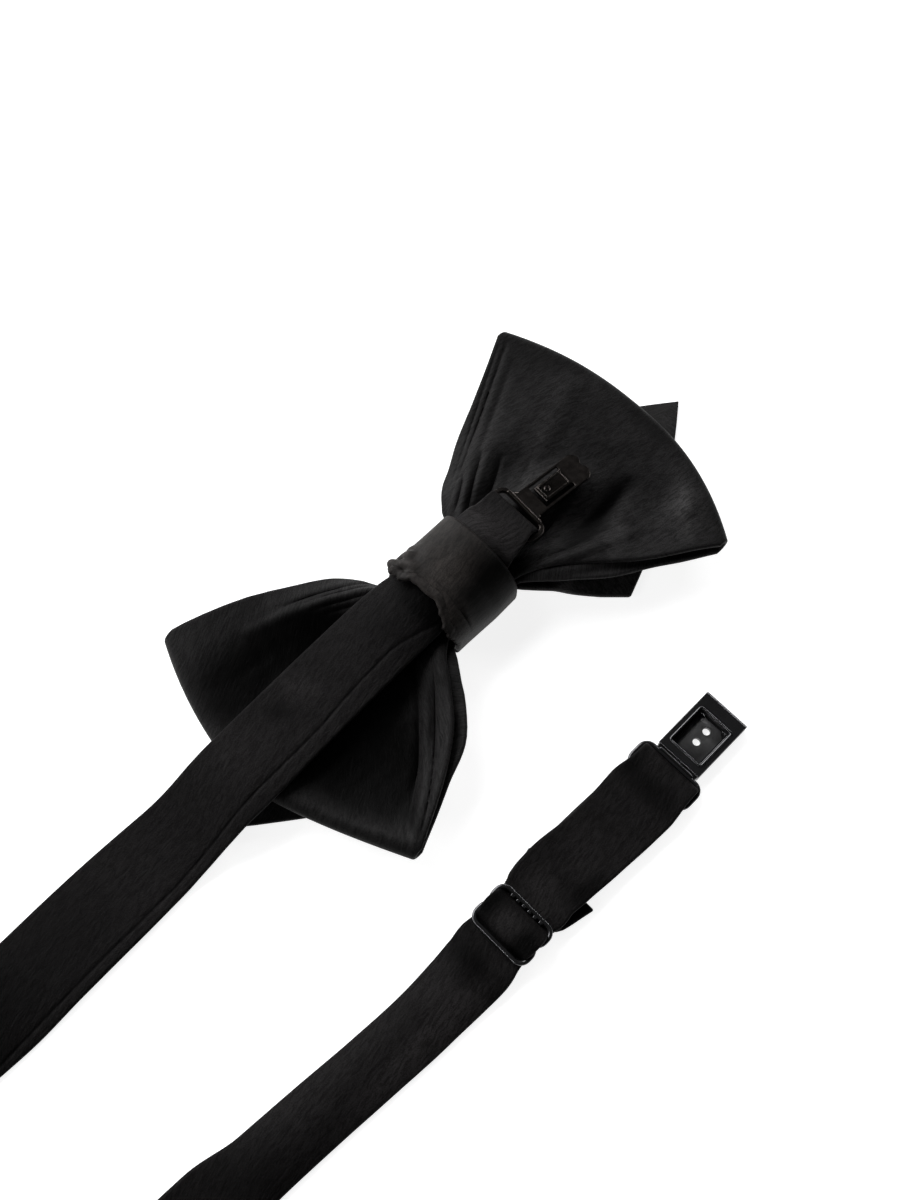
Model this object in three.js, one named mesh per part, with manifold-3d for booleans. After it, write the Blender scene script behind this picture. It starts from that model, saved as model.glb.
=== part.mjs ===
// Diamond point bow tie, pre-tied, lying face down with its back up. Millimetres, Z up.
// The origin is on the surface under the middle of the knot. +X runs along the bow to the hook's side,
// and +Y goes to the upper edge of the bow. The strap leaves along -X and comes back at negative Y.
import * as THREE from "three";
import { mergeVertices } from "three/addons/utils/BufferGeometryUtils.js";
import Module from "manifold-3d";

const wasm = await Module();
wasm.setup();

// Cloth
const PLY = 1.2; // wall of a folded satin ply of the bow
const STRAP_WALL = 1.0; // the strap is a flat tube of satin, pressed to this
const BAND_WALL = 1.2; // wall of the band round the knot

// Metal
const WIRE = 1.1; // thickness of the bars

// A table is a line of column names and its rows of numbers.
function table(columns, rows) {
  const names = columns.split(" ");
  return rows.map((row) => Object.fromEntries(names.map((name, i) => [name, row[i]])));
}

// Back loop: how far out its folded end is, in the middle of a wing and at the upper and lower corners
const WINGS = [
  { name: "right", side: 1, middle: 62.4, high: 54.2, low: 50.8, bendHigh: 2.2, bendLow: 2.2 },
  { name: "left", side: -1, middle: 59.4, high: 51.2, low: 46.2, bendHigh: 2.0, bendLow: 1.25 },
];

// Its lower and upper edges, from the knot (share 0) to the folded end (share 1), and how much further down the
// lower edge of the front ply lies
const EDGES = {
  right: table("share low high frontDrop", [
    [0.0, -6.0, 8.6, 0.0],
    [0.17, -6.3, 8.8, 0.0],
    [0.23, -7.0, 15.2, 0.0],
    [0.3, -9.2, 19.0, 0.6],
    [0.38, -12.2, 21.2, 1.2],
    [0.5, -17.2, 24.8, 1.6],
    [0.7, -23.4, 29.6, 0.6],
    [1.0, -33.0, 37.4, 0.0],
  ]),
  left: table("share low high frontDrop", [
    [0.0, -6.0, 8.6, 0.0],
    [0.18, -6.2, 9.8, 0.4],
    [0.27, -7.6, 15.8, 3.8],
    [0.36, -12.8, 20.4, 4.2],
    [0.5, -20.2, 24.4, 3.0],
    [0.7, -26.8, 29.4, 0.6],
    [1.0, -34.0, 35.8, 0.0],
  ]),
};

// Height of the middle of each layer's wall, along the middle of a wing and along its two edges
const LAYERS = {
  back: table("share middle edge", [
    [0.0, 11.0, 8.9],
    [0.16, 11.1, 9.4],
    [0.36, 11.4, 11.6],
    [0.6, 9.6, 12.0],
    [0.85, 8.0, 11.0],
    [1.0, 8.0, 9.6],
  ]),
  front: table("share middle edge", [
    [0.0, 7.1, 6.2],
    [0.16, 6.9, 6.4],
    [0.36, 5.2, 6.6],
    [0.6, 3.6, 5.8],
    [0.85, 3.2, 5.4],
    [1.0, 4.2, 5.6],
  ]),
  diamond: table("share middle edge", [
    [0.0, 3.4, 3.7],
    [0.14, 3.3, 3.5],
    [0.24, 1.4, 1.6],
    [0.4, 0.6, 0.8],
    [1.0, 0.6, 0.6],
  ]),
};

// Pleats that fan out from the knot: waves across a wing, and their height at each share
const PLEATS = 2.5;
const PLEAT_HEIGHT = table("share height", [
  [0.0, 0.7],
  [0.16, 0.9],
  [0.3, 1.2],
  [0.5, 0.8],
  [0.72, 0.0],
  [1.0, 0.0],
]);
const DIAMOND_PLEAT = 0.3; // the front layer is pressed flatter

// Ridges (+) and valleys (-) of the back ply. Across runs from -1 at the lower edge to 1 at the upper.
const FOLDS = {
  right: table("start end acrossIn acrossOut width height", [
    [0.3, 1.0, 0.25, 0.5, 0.16, 1.2],
    [0.28, 0.86, -0.42, -0.3, 0.17, -2.0],
    [0.35, 0.95, -0.74, -0.64, 0.14, 1.1],
  ]),
  left: table("start end acrossIn acrossOut width height", [
    [0.25, 0.9, 0.46, 0.42, 0.22, -1.5],
    [0.25, 0.9, -0.5, -0.45, 0.24, -1.7],
  ]),
};

// Front layer: its outline reaches out to the diamond's point, by share of its half height
const DIAMOND = {
  middleY: -0.8, half: 24.6, leftScale: 0.945, leftBulge: 0.8, knotReach: 9.2, knotLow: -5.4, knotHigh: 8.2,
};
const DIAMOND_HOLD = 0.14; // share of the layer inside the knot
const DIAMOND_REACH = table("share reach", [
  [0.0, 72.8],
  [0.2, 66.2],
  [0.6, 51.5],
  [0.86, 38.5],
  [1.0, 29.2],
]);

// Band round the knot: a rounded ring, and its two edges along X
const KNOT = { middleY: 1.9, halfY: 11.2, height: 18.2, squareness: 3.4, sides: 32 };
const BAND = { right: 9.4, fray: 0.4, frayWaves: 5, crease: 0.5, creaseX: -3.2 };
const BAND_LEFT = table("angle left", [
  [-90, -7.0],
  [30, -7.2],
  [60, -8.0],
  [90, -6.6],
  [125, -8.4],
  [150, -9.0],
  [180, -7.6],
  [270, -7.0],
]);

// Hook: a flat stamped piece. Its frame has X to the tip, from the middle of its ring.
const HOOK = {
  place: [19.8, 1.6, 16.1], turn: -3.5, dip: 6, ring: [6.4, 14.4], corner: 2.4, thickness: 1.0,
  tongue: 7.2, tip: 20.4, lobe: 1.95, slotFrom: 6.6, slotTo: 15.1, slot: 0.9, tab: 4.1,
};

// Slide: two loops that share a middle bar, with short teeth along one bar
const SLIDE = {
  place: [-41.3, -57.4, 4.5], pitch: 4.85, length: 15.2, corner: 2.5, bar: 1.0,
  teeth: 6, toothPitch: 1.55, tooth: [0.35, 0.8, 0.6],
};

// Socket: a ring, and a body with a window over a floor plate. X runs to the mouth at the free end.
const SOCKET = {
  place: [7.1, -58.3, 0], ring: [7.6, 16.7], corner: 2.6, ringMiddle: 1.95, web: 9.0,
  body: [1.1, 17.0], width: 11.2, height: 3.0, floor: 0.8, mouth: 8.6, mouthTop: 2.1,
  window: [3.6, 13.0], windowWidth: 7.9, holes: [7.3, 10.5], hole: 0.85,
};

// Neck strap, in the order of its length. Width is across the cloth, crown is how far its middle stands above
// its edges, and tilt turns it from flat (0) to standing on its edge (90).
const STRAP_COLUMNS = "x y z width crown tilt";
const KNOT_TAIL = table(STRAP_COLUMNS, [
  [3.0, 2.4, 14.3, 11.5, 1.4, 0],
  [10.5, 2.2, 14.35, 12.0, 0.9, 0],
  [14.5, 1.9, 14.3, 12.2, 0.3, 0],
]);
const HOOK_FOLD = { x: 18.3, y: 1.6, z: 16.1, width: 11.6, radius: 1.8 };
const OVER_WING = table(STRAP_COLUMNS, [
  [14.5, 1.9, 17.7, 13.4, 0.3, 0],
  [10.6, 2.5, 16.5, 15.4, 1.6, 0],
  [6.0, 2.7, 15.8, 15.4, 2.3, 0],
  [0.0, 2.8, 15.8, 15.4, 2.4, 0],
  [-7.0, 2.9, 15.6, 15.5, 2.4, 0],
  [-12.0, 3.0, 15.1, 16.2, 1.4, 0],
  [-20.0, 3.1, 14.3, 16.6, 0.6, 0],
  [-32.0, 3.1, 13.0, 16.8, 0.2, 0],
  [-45.0, 3.1, 11.4, 17.0, 0.0, 0],
  [-55.0, 3.1, 10.2, 17.2, 0.2, 0],
  [-60.0, 3.2, 9.6, 17.2, 0.4, 0],
  [-65.0, 3.4, 7.9, 17.0, 0.2, 0],
  [-71.0, 3.6, 4.8, 16.9, 0.0, 0],
  [-77.0, 3.8, 2.3, 17.3, 0.0, 0],
  [-84.0, 4.0, 0.9, 18.2, 0.0, 0],
  [-98.0, 3.9, 0.9, 19.0, 0.0, 0],
  [-112.0, 3.6, 0.9, 19.2, 0.0, 0],
]);
const TURN = { x: -148, y: -25.9, radius: 28.6, steps: 12, width: 17.6, endTilt: 40, edgeLift: 0.2 };
const BEFORE_TURN = table("x y width tilt", [
  [-122.0, 3.1, 19.2, 5],
  [-130.0, 2.8, 18.8, 13],
  [-139.0, 2.6, 18.2, 25],
]);
const AFTER_TURN = table("x y width tilt", [
  [-139.0, -54.3, 17.2, 26],
  [-129.0, -54.1, 16.6, 14],
  [-119.0, -54.2, 16.0, 6],
]);
const TO_SLIDE = table(STRAP_COLUMNS, [
  [-108.0, -54.8, 2.4, 13.0, -1.8, 0],
  [-94.0, -55.8, 2.6, 12.7, -2.0, 0],
  [-80.0, -57.0, 2.6, 12.5, -2.0, 0],
  [-66.0, -57.9, 2.5, 12.7, -1.9, 0],
  [-57.0, -58.0, 2.4, 13.4, -1.6, 0],
  [-51.5, -57.9, 2.6, 13.9, -1.0, 0],
]);
// Through the slide, with x and z measured from the middle of its middle bar: the running strap goes under a bar,
// over the sewn loop and under the other bar.
const WEAVE = table("x z width", [
  [-6.5, -1.6, 13.4],
  [-4.85, -1.4, 12.4],
  [-3.7, -1.0, 11.8],
  [-2.9, 0.4, 11.8],
  [-1.8, 1.8, 12.4],
  [0.0, 2.6, 12.8],
  [1.8, 1.8, 12.4],
  [2.9, 0.4, 11.8],
  [3.7, -1.0, 11.8],
  [4.6, -1.45, 12.0],
  [5.7, -1.45, 14.0],
  [7.0, -1.2, 15.4],
]);
const TOP_LAYER = table(STRAP_COLUMNS, [
  [-31.0, -57.3, 3.4, 16.8, -0.3, 0],
  [-26.0, -57.4, 3.2, 16.8, -0.3, 0],
  [-18.0, -57.4, 2.4, 16.0, -0.3, 0],
  [-8.0, -57.9, 2.5, 16.3, -0.3, 0],
  [-1.0, -58.2, 3.4, 15.9, 0.0, 0],
  [1.6, -58.3, 3.4, 15.4, 0.0, 0],
]);
const SOCKET_FOLD = { x: 3.4, y: -58.5, z: 1.95, width: 12.2, radius: 1.4 };
const LOWER_LAYER = table(STRAP_COLUMNS, [
  [-1.0, -58.2, 0.6, 14.8, 0.0, 0],
  [-8.0, -57.9, 0.6, 15.8, 0.0, 0],
  [-18.0, -57.6, 0.6, 16.0, 0.0, 0],
  [-26.0, -57.5, 1.9, 15.8, 0.0, 0],
  [-31.5, -57.4, 1.9, 15.4, 0.0, 0],
]);
// The sewn loop round the middle bar, measured like the weave, and the tail it ends in
const SEWN_WIDTH = 10.8;
const SEWN_LOOP = table("x z", [
  [6.3, -2.65],
  [4.85, -2.65],
  [3.6, -2.3],
  [2.5, -1.0],
  [1.3, 0.5],
  [0.9, 1.0],
  [0.0, 1.35],
  [-0.95, 0.95],
  [-1.35, 0.0],
  [-0.95, -0.95],
  [0.0, -1.35],
  [1.0, -1.75],
  [2.1, -2.9],
  [3.4, -3.75],
  [4.85, -3.95],
  [9.0, -3.95],
]);
const TAIL_END = { x: -27.4, width: 17.2, shift: -0.2 };

const COLOURS = {
  satin: { color: 0x0b0b0c, roughness: 0.42, metalness: 0 },
  band: { color: 0x151211, roughness: 0.36, metalness: 0 },
  enamel: { color: 0x17161a, roughness: 0.3, metalness: 0.75 },
  blackened: { color: 0x242427, roughness: 0.34, metalness: 0.9 },
};

const root = new THREE.Group();
root.name = "diamond_point_bow_tie";

function addPiece(name, geometry, finish, parent = root) {
  const piece = new THREE.Mesh(geometry, new THREE.MeshStandardMaterial(COLOURS[finish]));
  piece.name = name;
  parent.add(piece);
  return piece;
}

// Value of a column at a place along a table, on a smooth curve that never passes the rows' own values
function read(rows, key, column, at) {
  const last = rows.length - 1;
  const found = rows.findIndex((row) => row[key] >= at);
  const i = found < 0 ? last - 1 : Math.max(0, found - 1);
  const rise = (n) => (rows[n + 1][column] - rows[n][column]) / (rows[n + 1][key] - rows[n][key]);
  const slope = (n) => {
    if (n === 0 || n === last) return rise(Math.min(n, last - 1));
    const [before, after] = [rise(n - 1), rise(n)];
    return before * after > 0 ? (2 * before * after) / (before + after) : 0;
  };
  const span = rows[i + 1][key] - rows[i][key];
  const t = THREE.MathUtils.clamp((at - rows[i][key]) / span, 0, 1);
  const p = rows[i][column];
  const q = rows[i + 1][column];
  const h = t * t * (3 - 2 * t);
  return p + (q - p) * h + span * (slope(i) * t * (1 - t) * (1 - t) - slope(i + 1) * t * t * (1 - t));
}

// A cloth wall: both faces of a grid of middle points, set off by half the thickness along the grid's own
// normals, closed by its rims. With around set, the grid's first direction is a closed ring.
function clothWall(grid, thickness, around = false) {
  const rows = grid.length;
  const columns = grid[0].length;
  const at = (i, j) => {
    const row = around ? (i + rows) % rows : THREE.MathUtils.clamp(i, 0, rows - 1);
    return grid[row][THREE.MathUtils.clamp(j, 0, columns - 1)];
  };
  const faces = [[], []];
  for (let i = 0; i < rows; i++) {
    for (let j = 0; j < columns; j++) {
      const along = at(i + 1, j).clone().sub(at(i - 1, j));
      const across = at(i, j + 1).clone().sub(at(i, j - 1));
      const normal = along.cross(across).normalize();
      faces[0].push(at(i, j).clone().addScaledVector(normal, thickness / 2));
      faces[1].push(at(i, j).clone().addScaledVector(normal, -thickness / 2));
    }
  }
  const count = rows * columns;
  const top = (i, j) => (i % rows) * columns + j;
  const below = (i, j) => count + top(i, j);
  const index = [];
  const quad = (a, b, c, d) => index.push(a, b, c, a, c, d);
  const cells = around ? rows : rows - 1;
  for (let i = 0; i < cells; i++) {
    for (let j = 0; j < columns - 1; j++) {
      quad(top(i, j), top(i + 1, j), top(i + 1, j + 1), top(i, j + 1));
      quad(below(i, j), below(i, j + 1), below(i + 1, j + 1), below(i + 1, j));
    }
    quad(top(i, 0), below(i, 0), below(i + 1, 0), top(i + 1, 0));
    quad(top(i, columns - 1), top(i + 1, columns - 1), below(i + 1, columns - 1), below(i, columns - 1));
  }
  if (!around) {
    for (let j = 0; j < columns - 1; j++) {
      quad(top(0, j), top(0, j + 1), below(0, j + 1), below(0, j));
      quad(top(rows - 1, j), below(rows - 1, j), below(rows - 1, j + 1), top(rows - 1, j + 1));
    }
  }
  const geometry = new THREE.BufferGeometry().setFromPoints([...faces[0], ...faces[1]]);
  geometry.setIndex(index);
  return geometry;
}

// Places across a piece of cloth, from -1 to 1
const acrossPlaces = (steps) => Array.from({ length: steps + 1 }, (_, j) => (2 * j) / steps - 1);

const EDGE_POWER = 2.4; // how late a layer turns from its middle's height to its edge's
function layerHeight(layer, share, across) {
  const middle = read(LAYERS[layer], "share", "middle", share);
  const edge = read(LAYERS[layer], "share", "edge", share);
  return middle + (edge - middle) * Math.abs(across) ** EDGE_POWER;
}

const pleatWave = (across) => Math.cos(Math.PI * PLEATS * (across + 0.1));

// A fold fades in and out along its length and has a soft round section.
function foldHeight(wing, share, across) {
  let sum = 0;
  for (const fold of FOLDS[wing.name]) {
    const t = (share - fold.start) / (fold.end - fold.start);
    if (t > 0 && t < 1) {
      const middle = fold.acrossIn + (fold.acrossOut - fold.acrossIn) * t;
      const off = (across - middle) / fold.width;
      sum += fold.height * Math.sin(Math.PI * t) ** 0.7 * Math.exp(-off * off);
    }
  }
  return sum;
}

const LOOP_SHARES = [0, 0.07, 0.14, 0.2, 0.26, 0.32, 0.39, 0.47, 0.56, 0.66, 0.77, 0.89, 1];
const LOOP_ACROSS = 14;
const LOOP_TURNS = [45, 90, 135]; // steps of the folded end, in degrees from the back ply

function loopPoint(wing, layer, share, across, turn = 0) {
  const back = layerHeight("back", 1, across);
  const front = layerHeight("front", 1, across);
  const radius = (back - front) / 2;
  const corner = across > 0 ? wing.high : wing.low;
  const bend = across > 0 ? wing.bendHigh : wing.bendLow;
  const reach = wing.middle - (wing.middle - corner) * Math.abs(across) ** bend - radius;
  const drop = layer === "front" ? read(EDGES[wing.name], "share", "frontDrop", share) : 0;
  const low = read(EDGES[wing.name], "share", "low", share) - drop;
  const high = read(EDGES[wing.name], "share", "high", share);
  const y = (low + high) / 2 + (across * (high - low)) / 2;
  if (turn) {
    const angle = THREE.MathUtils.degToRad(turn);
    const z = (back + front) / 2 + radius * Math.cos(angle);
    return new THREE.Vector3(wing.side * (reach + radius * Math.sin(angle)), y, z);
  }
  let z = layerHeight(layer, share, across);
  z += read(PLEAT_HEIGHT, "share", "height", share) * pleatWave(across);
  if (layer === "back") z += foldHeight(wing, share, across);
  return new THREE.Vector3(wing.side * share * reach, y, z);
}

// Once round the loop: out along the right back ply, in along the front, and the same on the left.
function backLoop() {
  const [right, left] = WINGS;
  const out = LOOP_SHARES.slice(0, -1);
  const inward = LOOP_SHARES.slice(1).reverse();
  const stations = [
    ...out.map((share) => [right, "back", share]),
    [right, "back", 1],
    ...LOOP_TURNS.map((turn) => [right, "back", 1, turn]),
    ...inward.map((share) => [right, "front", share]),
    ...out.map((share) => [left, "front", share]),
    [left, "front", 1],
    ...LOOP_TURNS.toReversed().map((turn) => [left, "back", 1, turn]),
    ...inward.map((share) => [left, "back", share]),
  ];
  const grid = stations.map(([wing, layer, share, turn]) =>
    acrossPlaces(LOOP_ACROSS).map((across) => loopPoint(wing, layer, share, across, turn)),
  );
  return clothWall(grid, PLY, true);
}

const DIAMOND_SHARES = [0, 0.07, 0.14, 0.2, 0.27, 0.35, 0.45, 0.57, 0.71, 0.86, 1];
const DIAMOND_ACROSS = 14;

function diamondPoint(side, share, across) {
  const scale = side > 0 ? 1 : DIAMOND.leftScale;
  const bulge = side > 0 ? 1 : DIAMOND.leftBulge;
  const reach = scale * read(DIAMOND_REACH, "share", "reach", Math.abs(across));
  const outY = DIAMOND.middleY + across * DIAMOND.half;
  const knotMiddle = (DIAMOND.knotLow + DIAMOND.knotHigh) / 2;
  const knotY = knotMiddle + (across * (DIAMOND.knotHigh - DIAMOND.knotLow)) / 2;
  const free = Math.max(0, (share - DIAMOND_HOLD) / (1 - DIAMOND_HOLD));
  const held = Math.min(1, share / DIAMOND_HOLD);
  const x = DIAMOND.knotReach * held + (reach - DIAMOND.knotReach) * free;
  const wave = DIAMOND_PLEAT * read(PLEAT_HEIGHT, "share", "height", share) * (1 + pleatWave(across));
  const y = knotY + (outY - knotY) * free ** bulge;
  return new THREE.Vector3(side * x, y, layerHeight("diamond", share, across) + wave);
}

function frontDiamond() {
  const stations = [
    ...DIAMOND_SHARES.slice(1).reverse().map((share) => [-1, share]),
    ...DIAMOND_SHARES.map((share) => [1, share]),
  ];
  const grid = stations.map(([side, share]) =>
    acrossPlaces(DIAMOND_ACROSS).map((across) => diamondPoint(side, share, across)),
  );
  return clothWall(grid, PLY);
}

// The band's ring is a superellipse that starts half a step off its lowest point, so that its underside is flat.
function knotBand() {
  const step = (2 * Math.PI) / KNOT.sides;
  const power = 2 / KNOT.squareness;
  const flat = Math.cos(step / 2) ** power;
  const halfY = KNOT.halfY - BAND_WALL / 2;
  const halfZ = (KNOT.height / 2 - BAND_WALL / 2) / flat;
  const shape = (value) => Math.sign(value) * Math.abs(value) ** power;
  const grid = [];
  for (let i = 0; i < KNOT.sides; i++) {
    const angle = (i + 0.5) * step - Math.PI / 2;
    const y = KNOT.middleY + halfY * shape(Math.cos(angle));
    const z = KNOT.height / 2 + halfZ * shape(Math.sin(angle));
    const raw = read(BAND_LEFT, "angle", "left", THREE.MathUtils.radToDeg(angle));
    const left = raw + BAND.fray * Math.sin(BAND.frayWaves * angle);
    const top = Math.max(0, Math.sin(angle)) ** 2;
    grid.push(
      acrossPlaces(6).map((across) => {
        const x = (left + BAND.right) / 2 + ((BAND.right - left) / 2) * across;
        const dent = BAND.crease * top * Math.exp(-(((x - BAND.creaseX) / 1.8) ** 2));
        return new THREE.Vector3(x, y, z - dent);
      }),
    );
  }
  return clothWall(grid, BAND_WALL, true);
}

// Rows of a half turn of cloth round a bar or on itself, in the XZ plane, from one angle to another
function halfFold({ x, y, z, width, radius }, from, to, steps = 6) {
  return Array.from({ length: steps + 1 }, (_, i) => {
    const angle = THREE.MathUtils.degToRad(from + ((to - from) * i) / steps);
    return { x: x + radius * Math.cos(angle), y, z: z + radius * Math.sin(angle), width, crown: 0, tilt: 0 };
  });
}

// A row lying or standing on the surface, at the height that its tilt and width give it
function resting({ x, y, width, tilt }) {
  const angle = THREE.MathUtils.degToRad(tilt);
  const z = (width / 2) * Math.sin(angle) + (STRAP_WALL / 2) * Math.cos(angle) + TURN.edgeLift;
  return { x, y, z, width, crown: 0, tilt };
}

function neckTurn() {
  return Array.from({ length: TURN.steps + 1 }, (_, i) => {
    const angle = (Math.PI * i) / TURN.steps;
    const x = TURN.x - TURN.radius * Math.sin(angle);
    const y = TURN.y + TURN.radius * Math.cos(angle);
    const tilt = TURN.endTilt + (90 - TURN.endTilt) * Math.sin(angle);
    return resting({ x, y, width: TURN.width, tilt });
  });
}

// Rows given from the middle of the slide's middle bar
function atSlide(rows) {
  const [x, y, z] = SLIDE.place;
  return rows.map((row) => {
    return { x: x + row.x, y, z: z + row.z, width: row.width ?? SEWN_WIDTH, crown: 0, tilt: 0 };
  });
}

const STRAP_ACROSS = 5;

function neckStrap() {
  const tailZ = SLIDE.place[2] + SEWN_LOOP.at(-1).z;
  const rows = [
    ...KNOT_TAIL,
    ...halfFold(HOOK_FOLD, -90, 90),
    ...OVER_WING,
    ...BEFORE_TURN.map(resting),
    ...neckTurn(),
    ...AFTER_TURN.map(resting),
    ...TO_SLIDE,
    ...atSlide(WEAVE),
    ...TOP_LAYER,
    ...halfFold(SOCKET_FOLD, 90, -90),
    ...LOWER_LAYER,
    ...atSlide(SEWN_LOOP),
    {
      x: TAIL_END.x, y: SLIDE.place[1] + TAIL_END.shift, z: tailZ, width: TAIL_END.width, crown: 0, tilt: 0,
    },
  ];
  const middles = rows.map((row) => new THREE.Vector3(row.x, row.y, row.z));
  const grid = rows.map((row, i) => {
    const before = middles[Math.max(i - 1, 0)];
    const after = middles[Math.min(i + 1, rows.length - 1)];
    const along = after.clone().sub(before).normalize();
    const tilt = THREE.MathUtils.degToRad(row.tilt);
    const side = new THREE.Vector3(0, Math.cos(tilt), Math.sin(tilt));
    side.addScaledVector(along, -side.dot(along)).normalize();
    const up = side.clone().cross(along);
    return acrossPlaces(STRAP_ACROSS).map((across) =>
      middles[i].clone()
        .addScaledVector(side, (across * row.width) / 2)
        .addScaledVector(up, -row.crown * across * across),
    );
  });
  return clothWall(grid, STRAP_WALL);
}

// Rounded rectangle from its middle, as the outline of a shape or of a hole
function roundedOutline(path, x, y, width, height, radius) {
  const [l, r, b, t] = [x - width / 2, x + width / 2, y - height / 2, y + height / 2];
  path.moveTo(l + radius, b);
  path.lineTo(r - radius, b);
  path.absarc(r - radius, b + radius, radius, -Math.PI / 2, 0);
  path.lineTo(r, t - radius);
  path.absarc(r - radius, t - radius, radius, 0, Math.PI / 2);
  path.lineTo(l + radius, t);
  path.absarc(l + radius, t - radius, radius, Math.PI / 2, Math.PI);
  path.lineTo(l, b + radius);
  path.absarc(l + radius, b + radius, radius, Math.PI, 1.5 * Math.PI);
  return path;
}

const BEVEL = 0.2;
// A plate cut to a shape, from z upwards, with its edges broken by a small bevel
function plate(shape, thickness, z = 0, bevel = BEVEL, curveSegments = 4) {
  const geometry = new THREE.ExtrudeGeometry(shape, {
    depth: thickness - 2 * bevel,
    bevelEnabled: bevel > 0,
    bevelThickness: bevel,
    bevelSize: bevel,
    bevelOffset: -bevel,
    bevelSegments: 1,
    curveSegments,
  });
  return geometry.translate(0, 0, z + bevel);
}

function ringShape(x, size, corner, wire) {
  const shape = roundedOutline(new THREE.Shape(), x, 0, size[0], size[1], corner);
  const inner = [size[0] - 2 * wire, size[1] - 2 * wire];
  shape.holes.push(roundedOutline(new THREE.Path(), x, 0, inner[0], inner[1], corner - wire));
  return shape;
}

function toSolid(geometry) {
  const bare = geometry.clone();
  bare.deleteAttribute("normal");
  bare.deleteAttribute("uv");
  const merged = mergeVertices(bare, 1e-4);
  return new wasm.Manifold(
    new wasm.Mesh({
      numProp: 3,
      vertProperties: new Float32Array(merged.attributes.position.array),
      triVerts: new Uint32Array(merged.index.array),
    }),
  );
}

function toGeometry(solid) {
  const mesh = solid.getMesh();
  const geometry = new THREE.BufferGeometry();
  geometry.setAttribute("position", new THREE.BufferAttribute(mesh.vertProperties, 3));
  geometry.setIndex(new THREE.BufferAttribute(mesh.triVerts, 1));
  return geometry;
}

const joined = (...geometries) => toGeometry(geometries.map(toSolid).reduce((sum, next) => sum.add(next)));

function hookClasp() {
  const half = HOOK.tongue / 2;
  const farBar = HOOK.ring[0] / 2 - WIRE / 2;
  const lobeX = HOOK.tip - HOOK.lobe;
  const lobeY = half - HOOK.lobe;
  const tongue = new THREE.Shape();
  tongue.moveTo(farBar, -half);
  tongue.lineTo(lobeX, -half);
  tongue.absarc(lobeX, -lobeY, HOOK.lobe, -Math.PI / 2, Math.PI / 3);
  tongue.absarc(lobeX, lobeY, HOOK.lobe, -Math.PI / 3, Math.PI / 2);
  tongue.lineTo(farBar, half);
  tongue.closePath();
  const tab = HOOK.tab / 2;
  const outer = tab + HOOK.slot;
  const slot = new THREE.Path();
  slot.moveTo(HOOK.slotFrom, -outer);
  slot.lineTo(HOOK.slotTo, -outer);
  slot.lineTo(HOOK.slotTo, -tab);
  slot.lineTo(HOOK.slotFrom + HOOK.slot, -tab);
  slot.lineTo(HOOK.slotFrom + HOOK.slot, tab);
  slot.lineTo(HOOK.slotTo, tab);
  slot.lineTo(HOOK.slotTo, outer);
  slot.lineTo(HOOK.slotFrom, outer);
  slot.closePath();
  tongue.holes.push(slot);
  return joined(
    plate(ringShape(0, HOOK.ring, HOOK.corner, WIRE), HOOK.thickness, -HOOK.thickness / 2),
    plate(tongue, HOOK.thickness, -HOOK.thickness / 2),
  );
}

function adjusterSlide() {
  const { pitch, bar, length, corner } = SLIDE;
  const loops = [-1, 1].map((side) => {
    const shape = ringShape((side * pitch) / 2, [pitch + bar, length], corner, bar);
    return plate(shape, WIRE, -WIRE / 2);
  });
  const teeth = Array.from({ length: SLIDE.teeth }, (_, i) => {
    const y = (i - (SLIDE.teeth - 1) / 2) * SLIDE.toothPitch;
    const [deep, wide, high] = SLIDE.tooth;
    return new THREE.BoxGeometry(deep, wide, high).translate(pitch - bar / 2 - deep / 2 + 0.05, y, 0);
  });
  return joined(...loops, ...teeth);
}

function rectangle(x0, x1, width) {
  const shape = new THREE.Shape();
  shape.moveTo(x0, -width / 2);
  shape.lineTo(x1, -width / 2);
  shape.lineTo(x1, width / 2);
  shape.lineTo(x0, width / 2);
  shape.closePath();
  return shape;
}

function socketClasp() {
  const [from, to] = SOCKET.body;
  const [windowFrom, windowTo] = SOCKET.window;
  const { floor, mouthTop, height, width } = SOCKET;
  const ringX = WIRE / 2 - SOCKET.ring[0] / 2;
  const ringZ = SOCKET.ringMiddle - WIRE / 2;
  const base = rectangle(from, to, width);
  SOCKET.holes.forEach((x) => base.holes.push(new THREE.Path().absarc(x, 0, SOCKET.hole, 0, 2 * Math.PI)));
  const lid = rectangle(from, to, width);
  lid.holes.push(rectangle(windowFrom, windowTo, SOCKET.windowWidth));
  const rail = (width - SOCKET.mouth) / 2;
  const rails = [-1, 1].map((side) => {
    const box = plate(rectangle(from, to, rail), mouthTop - floor, floor, 0);
    return box.translate(0, (side * (width - rail)) / 2, 0);
  });
  return joined(
    plate(base, floor, 0, 0, 6),
    ...rails,
    plate(rectangle(from, windowFrom, width), mouthTop - floor, floor, 0),
    plate(lid, height - mouthTop, mouthTop, 0),
    plate(rectangle(-WIRE / 4, from + 0.2, SOCKET.web), WIRE, ringZ, 0),
    plate(ringShape(ringX, SOCKET.ring, SOCKET.corner, WIRE), WIRE, ringZ),
  );
}

addPiece("back_loop", backLoop(), "satin");
addPiece("front_diamond", frontDiamond(), "satin");
addPiece("knot_band", knotBand(), "band");
addPiece("neck_strap", neckStrap(), "satin");

const hookSeat = new THREE.Group();
hookSeat.position.set(...HOOK.place);
hookSeat.rotation.set(0, THREE.MathUtils.degToRad(HOOK.dip), THREE.MathUtils.degToRad(HOOK.turn), "ZYX");
root.add(hookSeat);
addPiece("hook_clasp", hookClasp(), "blackened", hookSeat);

addPiece("adjuster_slide", adjusterSlide(), "enamel").position.set(...SLIDE.place);
addPiece("socket_clasp", socketClasp(), "enamel").position.set(...SOCKET.place);

export default root;
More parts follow.
